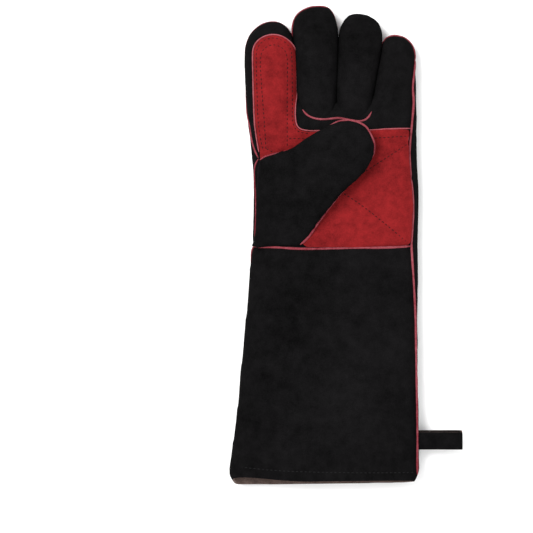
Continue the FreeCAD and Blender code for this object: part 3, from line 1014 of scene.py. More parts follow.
@dataclass
class Gauntlet(Assembly):
    """Hand, cuff, index and little finger: one leather bag sewn from a palm and a back half.

    Its front is one piece of leather from the cuff to the tips of the two outer fingers, so they grow out of
    the palm with no step. The two middle fingers are let in later. The tab under the cuff lifts it by
    tab_rise, and tab_left, tab_right and tab_top say where that rise begins and ends, along x, minus x and
    minus y. The curl_ and corner_ ranges do the same for the mouth's curled edge and its rounded corners.
    """

    leather: float = 1.8
    lining: float = 2.2
    mouth_front: float = -255.5
    mouth_back: float = -258.6
    mouth_depth: float = 22.0
    mouth_skew: float = 0.012
    mouth_middle: Point = (-7.0, 14.0)
    held_past: float = -272.0
    curl_across: Point = (20.0, 84.0)
    curl_up: Point = (9.0, 22.0)
    curl_along: Point = (225.0, 256.0)
    corner_start: float = -243.0
    corner_run: float = 14.0
    corner_left: Point = (60.0, 84.0)
    corner_right: Point = (50.0, 72.0)
    curl: float = 4.6
    corner: float = 6.0
    finger_line: float = 48.0
    tab_rise: float = 3.75
    tab_left: Point = (-66.0, -46.0)
    tab_right: Point = (-52.0, -32.0)
    tab_top: Point = (186.0, 197.0)
    flattened: float = 1.4
    web: float = 31.5
    web_split: float = 2.9
    hand_margin: float = 20.0
    hand: tuple[Station, ...] = rings(
        (-284, -91.5, 75.5, 5.5, 24.0), (-270, -91.0, 75.6, 4.4, 24.6), (-243, -90.4, 75.6, 3.9, 24.6),
        (-208, -84.4, 75.2, 3.7, 24.4), (-175, -81.4, 74.8, 2.6, 24.0), (-140, -78.0, 74.4, 1.2, 23.6),
        (-100, -74.6, 74.2, 0.6, 23.4), (-79, -72.6, 73.9, 0.4, 22.8), (-58, -70.6, 74.0, 0.2, 22.0),
        (-33, -70.2, 74.9, 0.0, 22.6), (0, -69.6, 74.6, 0.0, 23.0), (25, -71.2, 72.8, 0.0, 23.0),
        (42, -73.0, 73.0, 0.0, 23.0), (54, -73.4, 73.0, 0.4, 22.4), (64, -72.0, 71.4, 3.0, 19.5),
        (68, -66.0, 64.0, 7.0, 15.0),
    )
    index: tuple[Station, ...] = rings(
        (30, -70.5, -40.0, 4.0, 19.5), (44, -73.8, -35.0, 0.6, 23.0), (56, -74.4, -32.6, 0.0, 23.8),
        (79, -76.0, -31.2, 0.0, 24.0), (104, -77.2, -32.2, 0.0, 24.0), (115.5, -76.0, -33.4, 0.4, 23.4),
        (124.2, -72.0, -35.4, 2.4, 21.0), (131.6, -63.4, -41.0, 6.0, 17.0), (134.2, -58.0, -46.0, 8.5, 14.0),
    )
    little: tuple[Station, ...] = rings(
        (30, 40.0, 70.5, 4.0, 19.5), (44, 34.0, 73.0, 0.6, 23.0), (58, 31.4, 73.2, 0.0, 23.6),
        (79, 34.8, 72.2, 0.0, 23.8), (96, 39.0, 72.4, 0.0, 23.6), (107, 41.2, 72.0, 0.6, 22.8),
        (116.5, 42.6, 68.6, 3.0, 20.4), (122.6, 46.0, 60.0, 7.0, 16.5),
    )
    insert_welt: Welt = Welt("insert_welt", Seam(
        ((-25.6, 58.0), (-24.0, 54.6), (-18.4, 51.2), (-8.5, 49.4), (4.8, 50.8), (11.5, 49.4), (23.7, 47.8),
         (29.6, 50.6), (32.4, 56.0)), calm=5), radius=0.9)
    wrist_welt: Welt = Welt("wrist_seam_welt", Seam(
        ((-66.5, -57.6), (-45.6, -58.4), (-24.1, -59.4), (19.1, -58.6), (48.0, -58.4), (65.4, -57.2)),
        calm=5),
        radius=1.05, lift=0.8)
    little_side_welt: Welt = Welt("little_side_welt", Seam(
        ((71.2, 99.0, 15.0), (70.4, 90.0, 18.0), (69.2, 79.4, 21.0), (67.7, 64.2, 26.0), (66.0, 44.7, 26.0),
         (64.6, 30.0, 26.0), (64.0, 20.0, 26.0), (65.4, 0.1, 26.0)), calm=18), radius=0.9, lift=0.8)
    hand_side_welt: Welt = Welt("hand_side_welt", Seam(
        ((65.4, 0.1), (67.2, -16.5), (67.2, -33.0), (66.0, -52.4), (66.3, -66.4), (67.3, -81.0),
         (69.0, -115.4),
         (69.6, -151.7), (70.5, -208.0), (70.6, -250.0)), calm=5), radius=0.9, lift=0.8)
    thumb_side_welt: Welt = Welt("thumb_side_welt", Seam(
        ((-62.9, 16.4), (-65.2, 13.2), (-66.2, 8.0), (-66.0, -2.0), (-65.2, -14.0), (-65.0, -31.0),
         (-65.8, -56.0)), calm=5), radius=0.65, lift=0.4)
    cuff_side_welt: Welt = Welt("cuff_side_welt", Seam(
        ((-67.5, -57.0, 12.0), (-69.5, -70.0, 7.0), (-72.0, -100.0, 4.0), (-76.0, -150.0, 4.0),
         (-81.0, -208.0, 5.0), (-86.0, -240.0, 6.0), (-82.0, -251.0, 6.0)), calm=5))
    index_outline_welt: Welt = Welt("index_outline_welt", Seam(
        ((-62.9, 17.0, 26.0), (-65.4, 21.5, 26.0), (-67.8, 29.0, 26.0), (-69.6, 35.5, 26.0),
         (-71.4, 42.0, 22.0), (-73.2, 50.0, 16.0), (-74.8, 59.0, 11.0), (-75.8, 70.0, 7.5),
         (-76.0, 82.0, 5.5),
         (-77.0, 100.0, 5.0), (-74.6, 115.0, 9.0), (-67.4, 126.0, 12.5),
         (-58.5, 132.5, 12.5), (-50.0, 135.0, 12.5), (-42.0, 132.0, 12.5), (-34.0, 123.5, 11.0),
         (-31.0, 110.0, 8.0), (-30.0, 90.0, 7.0), (-29.6, 68.0, 6.0), (-28.6, 60.0, 3.0),
         (-28.1, 56.4, 2.0)), calm=16),
        radius=0.8, lift=0.2)
    little_outline_welt: Welt = Welt("little_outline_welt", Seam(
        ((32.0, 56.4, 2.0), (32.5, 60.0, 3.0), (34.0, 68.0, 5.0), (37.0, 90.0, 6.0), (40.0, 107.0, 9.0),
         (44.5, 118.0, 13.0),
         (54.0, 124.0, 13.5), (64.0, 120.0, 13.5), (71.0, 110.0, 13.5), (72.5, 104.0, 14.0),
         (71.2, 98.0, 15.3)), calm=5), radius=0.9, lift=0.2)
    hem_palm: Seam = Seam(((-82.0, -243.0), (-40.0, -246.6), (20.0, -248.0), (69.0, -248.0)))
    hem_back: Seam = Seam(((-82.0, -249.0), (-40.0, -251.0), (20.0, -251.0), (69.0, -250.6)), below=True)
    skin: bpy.types.Object | None = field(default=None, init=False)

    def sew(self) -> None:
        """Makes the closed bag: three lofts fused by one remesh, swollen, crumpled, and drawn in at seams."""
        lofts = [
            Shell("hand_loft", self.hand, squareness=3.2, ring_points=40).loft(),
            Shell("index_loft", self.index, squareness=2.7).loft(),
            Shell("little_loft", self.little, squareness=2.7).loft(),
        ]
        self.skin = join("gauntlet_leather", lofts)
        modify(self.skin, "REMESH", mode="VOXEL", voxel_size=3.6 * MM)
        swell(self.skin, pressure=3.0, cap=1.8 * MM, held=self._held)
        modify(self.skin, "SUBSURF", levels=1, render_levels=1)
        crumple(self.skin, size_mm=48, depth_mm=1.3)
        crumple(self.skin, size_mm=17, depth_mm=0.45)
        self._lie()
        self._draw_in()

    def _held(self, places: np.ndarray) -> np.ndarray:
        """Holds the far end past the mouth, which is cut off later."""
        return (places[:, 1] < self.held_past * MM).astype(float)

    def _lie(self) -> None:
        """Rests the bag on the floor, and on the tab where that lies under the cuff."""
        places = points_of(self.skin)
        x, y, z = places.T / MM
        floor = (
            self.tab_rise
            * smoothstep(x, *self.tab_left)
            * smoothstep(-x, *self.tab_right)
            * smoothstep(-y, *self.tab_top)
        )
        places[:, 2] = (floor + lie_on(z - floor, self.flattened)) * MM
        move_points(self.skin, places)

    def _draw_in(self) -> None:
        """Draws the leather in along its sewn seams."""
        face = Surface(self.skin)
        grooves = (
            (self.little_side_welt, 1.0, 2.6),
            (self.hand_side_welt, 1.0, 2.6),
            (self.wrist_welt, 1.4, 4.0),
            (self.insert_welt, 0.8, 3.0),
            (self.thumb_side_welt, 0.8, 2.5),
        )
        paths = [(welt.seam.lay(face)[0], depth, reach) for welt, depth, reach in grooves]
        for path, depth, reach in paths:
            press(self.skin, path, depth, reach)

    def trim(self, *stalls: bpy.types.Object) -> None:
        """Lays the welts in the seams, and the hem's stitches, while the bag is still closed.

        Args:
            *stalls: The leather of the two middle fingers, on whose fronts the insert's seam partly lies.
        """
        palm = Surface(self.skin)
        self.keep(self.insert_welt.build(Surface(self.skin, *stalls)))
        for welt in (
            self.wrist_welt,
            self.little_side_welt,
            self.hand_side_welt,
            self.thumb_side_welt,
            self.cuff_side_welt,
            self.index_outline_welt,
            self.little_outline_welt,
        ):
            self.keep(welt.build(palm))
        for name, finish, seam in (
            ("hem_stitches_palm", Finish.BLACK_THREAD, self.hem_palm),
            ("hem_stitches_back", Finish.GREY_THREAD, self.hem_back),
        ):
            self.keep(Stitching(name, finish, thickness=0.6).sew([seam.lay(palm)]))

    def cut(self) -> None:
        """Opens the mouth, parts the outer fingers, and gives the leather its wall and its lining."""
        dress(self.skin, Finish.BLACK, Finish.BLACK_EDGE)
        self._open_mouth()
        fingers = self._part_fingers()
        lining = self._thicken()
        for piece in fingers:
            dress(piece, Finish.BLACK)
        dress(lining, Finish.LINING)
        for piece in (self.skin, *fingers, lining):
            smooth(piece, 60)
        self.keep(self.skin, *fingers, lining)

    def _open_mouth(self) -> None:
        """Cuts the bag along the slanted mouth, rounds its corners, and curls the palm half's edge back."""
        activate(self.skin)
        bpy.ops.object.mode_set(mode="EDIT")
        bpy.ops.mesh.select_all(action="SELECT")
        across, up = self.mouth_middle
        middle = Vector((across, (self.mouth_front + self.mouth_back) / 2, up)) * MM
        slant = (self.mouth_front - self.mouth_back) / self.mouth_depth
        normal = Vector((self.mouth_skew, -1, slant)).normalized()
        bpy.ops.mesh.bisect(plane_co=middle, plane_no=normal, clear_outer=True, use_fill=False)
        bpy.ops.object.mode_set(mode="OBJECT")
        places = points_of(self.skin)
        x, y, z = places.T / MM
        curled = smoothstep(-x, *self.curl_across)
        y = y + self.curl * curled * smoothstep(z, *self.curl_up) * smoothstep(-y, *self.curl_along)
        rounding = np.clip((self.corner_start - y) / self.corner_run, 0, 1) ** 2 * self.corner
        x = x + rounding * (smoothstep(-x, *self.corner_left) - smoothstep(x, *self.corner_right))
        places[:, 0], places[:, 1] = x * MM, y * MM
        move_points(self.skin, places)

    def _part_fingers(self) -> list[bpy.types.Object]:
        """Parts the fingers' leather from the hand at the knuckle line, as a piece for each finger.

        Returns:
            The index finger's leather, the webs under the two middle fingers' roots, and the little
            finger's leather.
        """
        left, right = self.hand[-1].left - self.hand_margin, self.hand[-1].right + self.hand_margin
        parts = []
        for name, low, high in (
            ("index_leather", left, -self.web),
            ("middle_web", -self.web, self.web_split),
            ("ring_web", self.web_split, self.web),
            ("little_leather", self.web, right),
        ):
            activate(self.skin)
            bpy.ops.object.mode_set(mode="EDIT")
            bpy.ops.mesh.select_all(action="DESELECT")
            bpy.ops.mesh.select_mode(type="FACE")
            bpy.ops.object.mode_set(mode="OBJECT")
            for face in self.skin.data.polygons:
                x, y, _ = face.center / MM
                face.select = y > self.finger_line and low < x <= high
            bpy.ops.object.mode_set(mode="EDIT")
            bpy.ops.mesh.separate(type="SELECTED")
            bpy.ops.object.mode_set(mode="OBJECT")
            part = next(o for o in bpy.context.selected_objects if o is not self.skin)
            part.name = part.data.name = name
            modify(part, "SOLIDIFY", thickness=self.leather * MM, offset=-1, use_rim=True)
            parts.append(part)
        return parts

    def _thicken(self) -> bpy.types.Object:
        """Gives the cut leather its wall and a raw edge at the mouth.

        Returns:
            The brushed lining, a second bag that hugs the inside from near the mouth to the fingers' roots.
        """
        activate(self.skin)
        bpy.ops.object.duplicate()
        lining = bpy.context.object
        lining.name = lining.data.name = "gauntlet_lining"
        activate(lining)
        bpy.ops.object.mode_set(mode="EDIT")
        bpy.ops.mesh.select_all(action="SELECT")
        for end, way in ((self.mouth_front + 6, -1), (self.finger_line - 8, 1)):
            bpy.ops.mesh.select_all(action="SELECT")
            place = Vector((0, end, 0)) * MM
            bpy.ops.mesh.bisect(plane_co=place, plane_no=(0, way, 0), clear_outer=True, use_fill=False)
        bpy.ops.mesh.select_all(action="SELECT")
        bpy.ops.transform.shrink_fatten(value=-(self.leather + 0.1) * MM)
        bpy.ops.object.mode_set(mode="OBJECT")
        modify(lining, "SOLIDIFY", thickness=self.lining * MM, offset=-1)
        modify(
            self.skin,
            "SOLIDIFY",
            thickness=self.leather * MM,
            offset=-1,
            use_rim=True,
            material_offset=1,
            material_offset_rim=1,
        )
        return lining

    def fit(self) -> None:
        """Hangs the insert's welt and the hem's stitches on their bodies, bakes the other pieces in place,
        and hides the CAD parts they stand for.
        """
        made = self.pieces
        lining, wrist, hand_side = made["gauntlet_lining"], made["wrist_seam_welt"], made["hand_side_welt"]
        thumb_side, cuff_side = made["thumb_side_welt"], made["cuff_side_welt"]
        Crossing.WRIST.carry(self.skin, lining, wrist, hand_side, thumb_side, cuff_side)
        Crossing.INDEX.carry(made["index_leather"], made["index_outline_welt"])
        Crossing.LITTLE.carry(made["little_leather"], made["little_side_welt"], made["little_outline_welt"])
        Crossing.MIDDLE.carry(made["middle_web"])
        Crossing.RING.carry(made["ring_web"])
        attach(made["insert_welt"], "hand")
        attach(made["hem_stitches_palm"], "cuff")
        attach(made["hem_stitches_back"], "cuff")
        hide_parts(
            "hand_back_panel", "palm_panel", "cuff_back_panel", "cuff_palm_panel", "cuff_hem"
        )
        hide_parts("hand_lining", "cuff_lining")
        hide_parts("wrist_welt")
        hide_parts("hand_welt_ulnar", "cuff_welt_ulnar")
        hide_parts("hand_welt_radial")
        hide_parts("cuff_welt_radial")
        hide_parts("finger_insert_welt")
        for finger in ("index", "little"):
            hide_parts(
                *(f"{finger}_{part}" for part in ("back", "front", "lining"))
            )
            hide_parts(f"{finger}_welt")


@dataclass
class Stall(Assembly):
    """A middle finger's leather, which stands on its own and is sewn into the palm at its root."""

    finger: str
    crossing: Crossing
    stations: tuple[Station, ...]
    outline: Welt
    squareness: float = 2.6
    root: float = 46.0
    leather: bpy.types.Object | None = field(default=None, init=False)

    def sew(self) -> None:
        """Makes the swollen stall, and the welt round it."""
        name = f"{self.finger}_leather"
        shell = Shell(
            name, self.stations, self.squareness, voxel=3.2, cap=1.2, pressure=3.0, held_below=self.root
        )
        self.leather = shell.build()
        crumple(self.leather, size_mm=30, depth_mm=0.9)
        crumple(self.leather, size_mm=12, depth_mm=0.3)
        settle(self.leather)
        self.keep(self.leather, self.outline.build(Surface(self.leather)))
        smooth(self.leather, 60)
        dress(self.leather, Finish.BLACK)

    def fit(self) -> None:
        """Bakes the stall in place and hides the CAD finger that it stands for."""
        self.crossing.carry(*self.pieces.values())
        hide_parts(*(f"{self.finger}_{part}" for part in ("back", "front", "lining")))
        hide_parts(f"{self.finger}_welt")


def middle_stall() -> Stall:
    """The middle finger's stall.

    Returns:
        The longest finger, whose tip leans towards the thumb.
    """
    stations = rings(
        (28, -19.0, -3.0, 6.0, 16.0), (42, -23.6, 1.2, 3.0, 21.0), (52, -26.5, 3.0, 0.8, 24.4),
        (62, -29.6, 3.4, 0.0, 25.2), (76, -31.8, 3.9, 0.0, 24.8), (95, -32.8, 4.5, 0.0, 24.6),
        (112, -33.6, 5.0, 0.0, 24.4), (125, -34.8, 5.2, 0.4, 23.6), (136, -33.6, 2.8, 2.0, 21.6),
        (142.8, -26.5, -1.0, 5.5, 17.5), (146, -17.0, -5.0, 8.5, 14.5),
    )
    line = (
        (-28.0, 56.4, 2.0), (-29.0, 66.0, 4.0), (-33.0, 90.0, 7.0), (-36.0, 110.0, 8.0), (-37.0, 123.0, 11.5),
        (-35.0, 136.0, 12.5), (-27.0, 146.0, 12.5), (-16.0, 149.0, 12.5), (-6.0, 147.0, 12.0),
        (2.6, 138.0, 8.0), (6.0, 126.0, 5.0), (5.0, 100.0, 5.0), (3.6, 66.0, 4.0), (2.7, 56.4, 2.0),
    )
    outline = Welt("middle_outline_welt", Seam(line, calm=5), radius=0.9, lift=0.2)
    return Stall("middle", Crossing.MIDDLE, stations, outline)


def ring_stall() -> Stall:
    """The ring finger's stall.

    Returns:
        The finger beside the little one, widest near its tip.
    """
    stations = rings(
        (28, 8.0, 24.0, 6.0, 16.0), (42, 4.2, 28.0, 3.0, 21.0), (52, 2.4, 31.4, 0.8, 24.4),
        (62, 2.1, 33.2, 0.0, 25.2), (76, 2.6, 35.6, 0.0, 24.8), (95, 3.2, 39.0, 0.0, 24.6),
        (110, 3.8, 41.6, 0.0, 24.4), (121, 4.0, 42.6, 0.4, 23.6), (129.5, 5.8, 41.0, 2.0, 21.6),
        (137, 11.0, 33.6, 5.5, 17.5), (140.4, 15.6, 25.0, 8.5, 14.5),
    )
    line = (
        (2.8, 56.4, 2.0), (1.8, 66.0, 4.0), (2.0, 100.0, 6.0), (3.0, 122.0, 6.0), (8.0, 136.0, 5.0),
        (21.0, 143.0, 5.0), (36.0, 136.0, 5.0), (44.0, 122.0, 6.0), (41.0, 100.0, 6.0), (34.6, 66.0, 4.0),
        (32.0, 56.4, 2.0),
    )
    outline = Welt("ring_outline_welt", Seam(line, calm=5), radius=0.9, lift=0.0)
    return Stall("ring", Crossing.RING, stations, outline)


@dataclass
class Thumb(Assembly):
    """The wing thumb: it grows out of the palm's lower corner and lies across the palm.

    Its own frame has y along the thumb, up and to the right over the palm, and x across it.
    """

    root: Point = (-45.2, -19.0)
    turn: float = -63.9
    foot: float = -6.0
    stations: tuple[Station, ...] = rings(
        (-38, 23.5, 26.5, 17.5, 23.0), (-33, 20.0, 27.4, 15.5, 25.6), (-24, 3.6, 31.6, 15.0, 26.8),
        (-16, -12.6, 35.4, 15.0, 27.6), (-8, -29.0, 39.6, 15.5, 28.6), (0, -42.0, 43.2, 17.0, 30.0),
        (8, -40.6, 40.2, 20.0, 32.4), (20, -37.6, 32.8, 25.5, 37.5), (31, -37.0, 28.2, 27.6, 41.5),
        (40, -37.9, 23.8, 28.0, 43.6), (50, -39.1, 18.9, 28.0, 45.0), (62, -40.1, 15.4, 28.0, 46.0),
        (72, -38.8, 12.2, 28.2, 46.0), (80, -36.6, 8.4, 29.0, 45.0), (87.5, -32.0, 2.2, 31.0, 43.0),
        (94.2, -23.0, -5.5, 34.0, 40.0),
    )
    outline: Welt = Welt("thumb_outline_welt", Seam(
        ((-27.0, -58.0, 27.0), (-14.8, -45.0, 28.5), (-0.5, -27.5, 30.0), (12.4, -9.0, 31.0),
         (20.0, -2.0, 30.0), (28.0, 6.0, 28.0), (34.0, 14.0, 29.5), (36.0, 22.0, 35.0),
         (35.0, 31.0, 38.0), (31.0, 39.4, 38.5),
         (24.0, 46.5, 38.5), (13.0, 50.5, 38.0), (4.0, 49.0, 36.0), (-9.0, 40.0, 31.0), (-27.0, 29.0, 28.0),
         (-39.8, 24.0, 27.0), (-57.2, 19.8, 24.5), (-63.6, 16.8, 23.5)), top=99.0, calm=5),
        radius=1.05, lift=0.6)
    leather: bpy.types.Object | None = field(default=None, init=False)

    def frame(self) -> Matrix:
        """Takes the thumb's own frame to the glove's."""
        place = Vector((*self.root, 0)) * MM
        return Matrix.Translation(place) @ Matrix.Rotation(math.radians(self.turn), 4, "Z")

    def sew(self) -> None:
        """Makes the swollen thumb in its place, and the welt round it."""
        shell = Shell(
            "thumb_leather",
            self.stations,
            ring_points=32,
            voxel=3.4,
            pressure=3.0,
            cap=1.0,
            held_below=self.foot,
            place=self.frame(),
        )
        self.leather = shell.build()
        crumple(self.leather, size_mm=36, depth_mm=1.4)
        crumple(self.leather, size_mm=13, depth_mm=0.35)
        self.keep(self.leather, self.outline.build(Surface(self.leather)))
        smooth(self.leather, 60)
        dress(self.leather, Finish.BLACK)

    def fit(self) -> None:
        """Bakes the thumb in place and hides the CAD thumb that it stands for."""
        Crossing.THUMB.carry(*self.pieces.values())
        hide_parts("thumb_inner_panel", "thumb_outer_panel", "thumb_lining", "thumb_foot")
        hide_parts("thumb_welt")


# ---------------------------------------------------------------- red patches


@dataclass
class Patch(Assembly):
    """One red sheet sewn to palm and index finger, padded, and quilted with a cross."""

    thickness: float = 1.6
    rise: float = 0.5
    pillow: float = 2.4
    swell_between: float = 0.9
    stitch_hold: float = 0.7
    grain: float = 2.6
    edge_step: float = 2.2
    stitch_step: float = 2.0
    fill: float = 0.4
    arm: tuple[Point, ...] = (
        (-62.0, 22.1), (-64.4, 36.0), (-66.0, 52.0), (-66.9, 80.0), (-67.4, 105.0), (-65.4, 113.0),
        (-59.6, 118.4), (-50.6, 120.7), (-41.6, 118.4), (-34.9, 112.4), (-32.6, 105.5), (-32.1, 84.0),
        (-32.0, 60.0), (-31.6, 48.0), (-28.8, 41.8), (-20.0, 39.8),
    )
    palm: tuple[Point, ...] = ((-10.6, 39.8), (29.7, 40.4), (48.0, 41.6), (65.0, 42.2))
    side: tuple[Point, ...] = ((63.3, 22.1), (64.7, 0.1), (66.5, -16.5), (66.4, -33.0), (65.0, -57.2))
    foot: tuple[Point, ...] = ((19.1, -58.2), (-24.1, -58.2))
    root: tuple[Point, ...] = ((-30.5, -50.0), (-46.0, -18.0), (-61.0, 12.0))
    arm_stitch: tuple[Point, ...] = (
        (-56.6, 24.0), (-58.4, 52.0), (-60.8, 84.0), (-61.2, 102.0), (-58.0, 109.4), (-50.4, 112.4),
        (-42.6, 109.4), (-38.9, 102.0), (-38.8, 70.0), (-38.8, 24.0),
    )
    edge_stitch: tuple[Point, ...] = (
        (-59.4, 24.0), (-61.9, 37.0), (-63.5, 52.0), (-64.4, 80.0), (-64.9, 104.0), (-63.1, 111.2),
        (-58.2, 116.2), (-50.6, 118.2), (-43.0, 116.2), (-37.2, 111.0), (-35.1, 104.6), (-34.6, 84.0),
        (-34.4, 60.0), (-34.0, 47.0), (-30.4, 39.4), (-20.0, 37.4),
    )
    palm_stitch: tuple[Point, ...] = ((-38.0, 33.2), (0.0, 33.0), (37.0, 33.8), (63.6, 35.6))
    cross: tuple[tuple[Point, ...], ...] = (
        ((62.6, 28.7), (34.9, 10.7), (4.2, -9.0), (-27.0, -28.5), (-41.0, -38.0)),
        ((-57.0, 25.0), (-24.0, 8.0), (4.2, -10.0), (28.0, -26.0), (62.4, -54.0)),
    )

    def outline(self) -> np.ndarray:
        """The sheet's edge in plan, in millimetres."""
        runs = (self.arm, self.palm, self.side, self.foot, self.root)
        return np.concatenate([spline(run, self.edge_step) for run in runs])

    def stitched(self) -> tuple[tuple[Point, ...], ...]:
        """The sewn lines inside the edge."""
        return (self.arm_stitch, self.edge_stitch, self.palm_stitch, *self.cross)

    def sew(self, palm: Surface) -> None:
        """Cuts the sheet, lays it on the glove, sews it down, and lets it swell between its stitch lines.

        Args:
            palm: The glove that it is sewn to.
        """
        edge = self.outline()
        inner = [spline(line, self.stitch_step) for line in self.stitched()]
        sheet = self._lay(edge, inner, palm)
        self._puff(sheet, [np.vstack([edge, edge[:1]]) * MM, *(line * MM for line in inner)])
        modify(sheet, "SUBSURF", levels=1, render_levels=1)
        # The rim faces take the paler cut edge finish, partly the cut edge's own tone and partly a painted
        # highlight.
        dress(sheet, Finish.RED, Finish.RED_EDGE)
        wall = self.thickness * MM
        modify(sheet, "SOLIDIFY", thickness=wall, offset=1, use_rim=True, material_offset_rim=1)
        smooth(sheet, 60)
        top = Surface(sheet)
        stitches = Stitching("patch_stitches", Finish.DARK_THREAD)
        edge_seam = Seam((*self.arm, *self.palm), spacing=1.6)
        # A pale cord along the sheet's edge: the cut edge's tone with a painted highlight along it.
        rim = Welt("patch_rim", edge_seam, radius=0.6, lift=1.4, finish=Finish.RED_EDGE)
        self.keep(sheet, stitches.sew([Seam(line).lay(top) for line in self.stitched()]), rim.build(palm))

    def _lay(self, edge: np.ndarray, inner: Sequence[np.ndarray], palm: Surface) -> bpy.types.Object:
        """Meshes the sheet evenly inside its edge, with points on every stitch line, and lays it down.

        Args:
            edge: The outline in plan.
            inner: The stitch lines in plan.
            palm: What it lies on.

        Returns:
            The flat sheet, one layer thick.
        """
        low, high = edge.min(0), edge.max(0)
        across = np.arange(low[0], high[0], self.grain)
        row_step, keep_off = 0.87 * self.grain, 0.55 * self.grain
        along = np.arange(low[1], high[1], row_step)
        offsets = [(row % 2) * self.grain / 2 for row in range(len(along))]
        grid = np.array([(x + offset, y) for offset, y in zip(offsets, along) for x in across])
        clear = distance_to_lines(grid, [np.vstack([edge, edge[:1]]), *inner]) > keep_off
        points = [Vector(p) for p in np.vstack([edge, *inner, grid[clear]])]
        count = len(edge)
        borders = [(i, (i + 1) % count) for i in range(count)]
        start = count
        for line in inner:
            borders += [(start + i, start + i + 1) for i in range(len(line) - 1)]
            start += len(line)
        plan, _, faces, *_ = delaunay_2d_cdt(points, borders, [list(range(count))], 1, 1e-4)
        places = []
        for point in plan:
            place, normal = palm.drop(point.x * MM, point.y * MM)
            places.append(place + normal * self.rise * MM)
        sheet = new_piece("patch_leather", places, faces)
        activate(sheet)
        bpy.ops.object.mode_set(mode="EDIT")
        bpy.ops.mesh.select_all(action="SELECT")
        bpy.ops.mesh.normals_make_consistent(inside=False)
        bpy.ops.object.mode_set(mode="OBJECT")
        if sheet.data.polygons[0].normal.z < 0:
            sheet.data.flip_normals()
        modify(sheet, "SMOOTH", factor=0.5, iterations=3)
        return sheet

    def _puff(self, sheet: bpy.types.Object, lines: Sequence[np.ndarray]) -> None:
        """Raises the sheet between its sewn lines by the padding, as a cloth held at the stitches.

        Args:
            sheet: The flat sheet.
            lines: Its edge and stitch lines, in metres.
        """
        near = distance_to_lines(points_of(sheet), lines) / MM
        at_stitch = (near < self.stitch_hold).astype(float)
        swell(sheet, pressure=9.0, cap=self.pillow * MM, held=lambda places: at_stitch)
        places = points_of(sheet)
        places[:, 2] += self.swell_between * MM * smoothstep(near, 0.0, 5.0)
        move_points(sheet, places)

    def fit(self) -> None:
        """Bakes the patch and its threads in place, and hides the CAD patches that they stand for."""
        Crossing.INDEX.carry(*self.pieces.values())
        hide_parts("palm_patch", "palm_padding", "index_patch")


# ---------------------------------------------------------------- tab and hang loop


@dataclass
class Tab(Assembly):
    """The red tab riveted to the back of the cuff: a pill of suede, left blank."""

    corner: float = 10.0
    edge: float = 0.7
    rivets: tuple[str, ...] = ("rivet_caps", "rivet_posts", "rivet_washers")

    def cut(self) -> None:
        """Models the tab where the CAD has it, rounds its corners and softens its outer edge."""
        low, high = (Vector(c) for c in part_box("name_tab"))
        deselect()
        bpy.ops.mesh.primitive_cube_add(size=1, location=(low + high) / 2, scale=high - low)
        piece = bpy.context.object
        piece.name = piece.data.name = "tab_leather"
        bpy.ops.object.transform_apply(location=True, rotation=True, scale=True)
        bpy.ops.object.mode_set(mode="EDIT")
        bpy.ops.mesh.select_mode(type="EDGE")
        self._pick(piece, lambda a, b: abs(a.z - b.z) > 0.1 * MM)
        bpy.ops.mesh.bevel(offset=self.corner * MM, segments=10, affect="EDGES")
        self._pick(piece, lambda a, b: max(a.z, b.z) < low.z + 0.01 * MM)
        bpy.ops.mesh.bevel(offset=self.edge * MM, segments=3, affect="EDGES")
        bpy.ops.mesh.select_mode(type="FACE")
        bpy.ops.object.mode_set(mode="OBJECT")
        for face in piece.data.polygons:
            face.select = face.normal.z < -0.9
        bpy.ops.object.mode_set(mode="EDIT")
        bpy.ops.mesh.inset(thickness=1.2 * MM, depth=0)
        bpy.ops.mesh.quads_convert_to_tris()
        bpy.ops.object.mode_set(mode="OBJECT")
        smooth(piece, 40)
        dress(piece, Finish.RED)
        self.keep(piece)
        for name in self.rivets:
            dress(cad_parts[name], Finish.RIVET)

    @staticmethod
    def _pick(piece: bpy.types.Object, test: Callable[[Vector, Vector], bool]) -> None:
        """Selects the edges whose two ends pass a test.

        Args:
            piece: The piece, in edit mode.
            test: Takes the places of both ends.
        """
        mesh = bmesh.from_edit_mesh(piece.data)
        for edge in mesh.edges:
            edge.select = test(edge.verts[0].co, edge.verts[1].co)
        mesh.select_flush_mode()
        bmesh.update_edit_mesh(piece.data)

    def fit(self) -> None:
        """Fixes the tab to the cuff in place of the CAD's."""
        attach(self.pieces["tab_leather"], "cuff")
        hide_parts("name_tab")


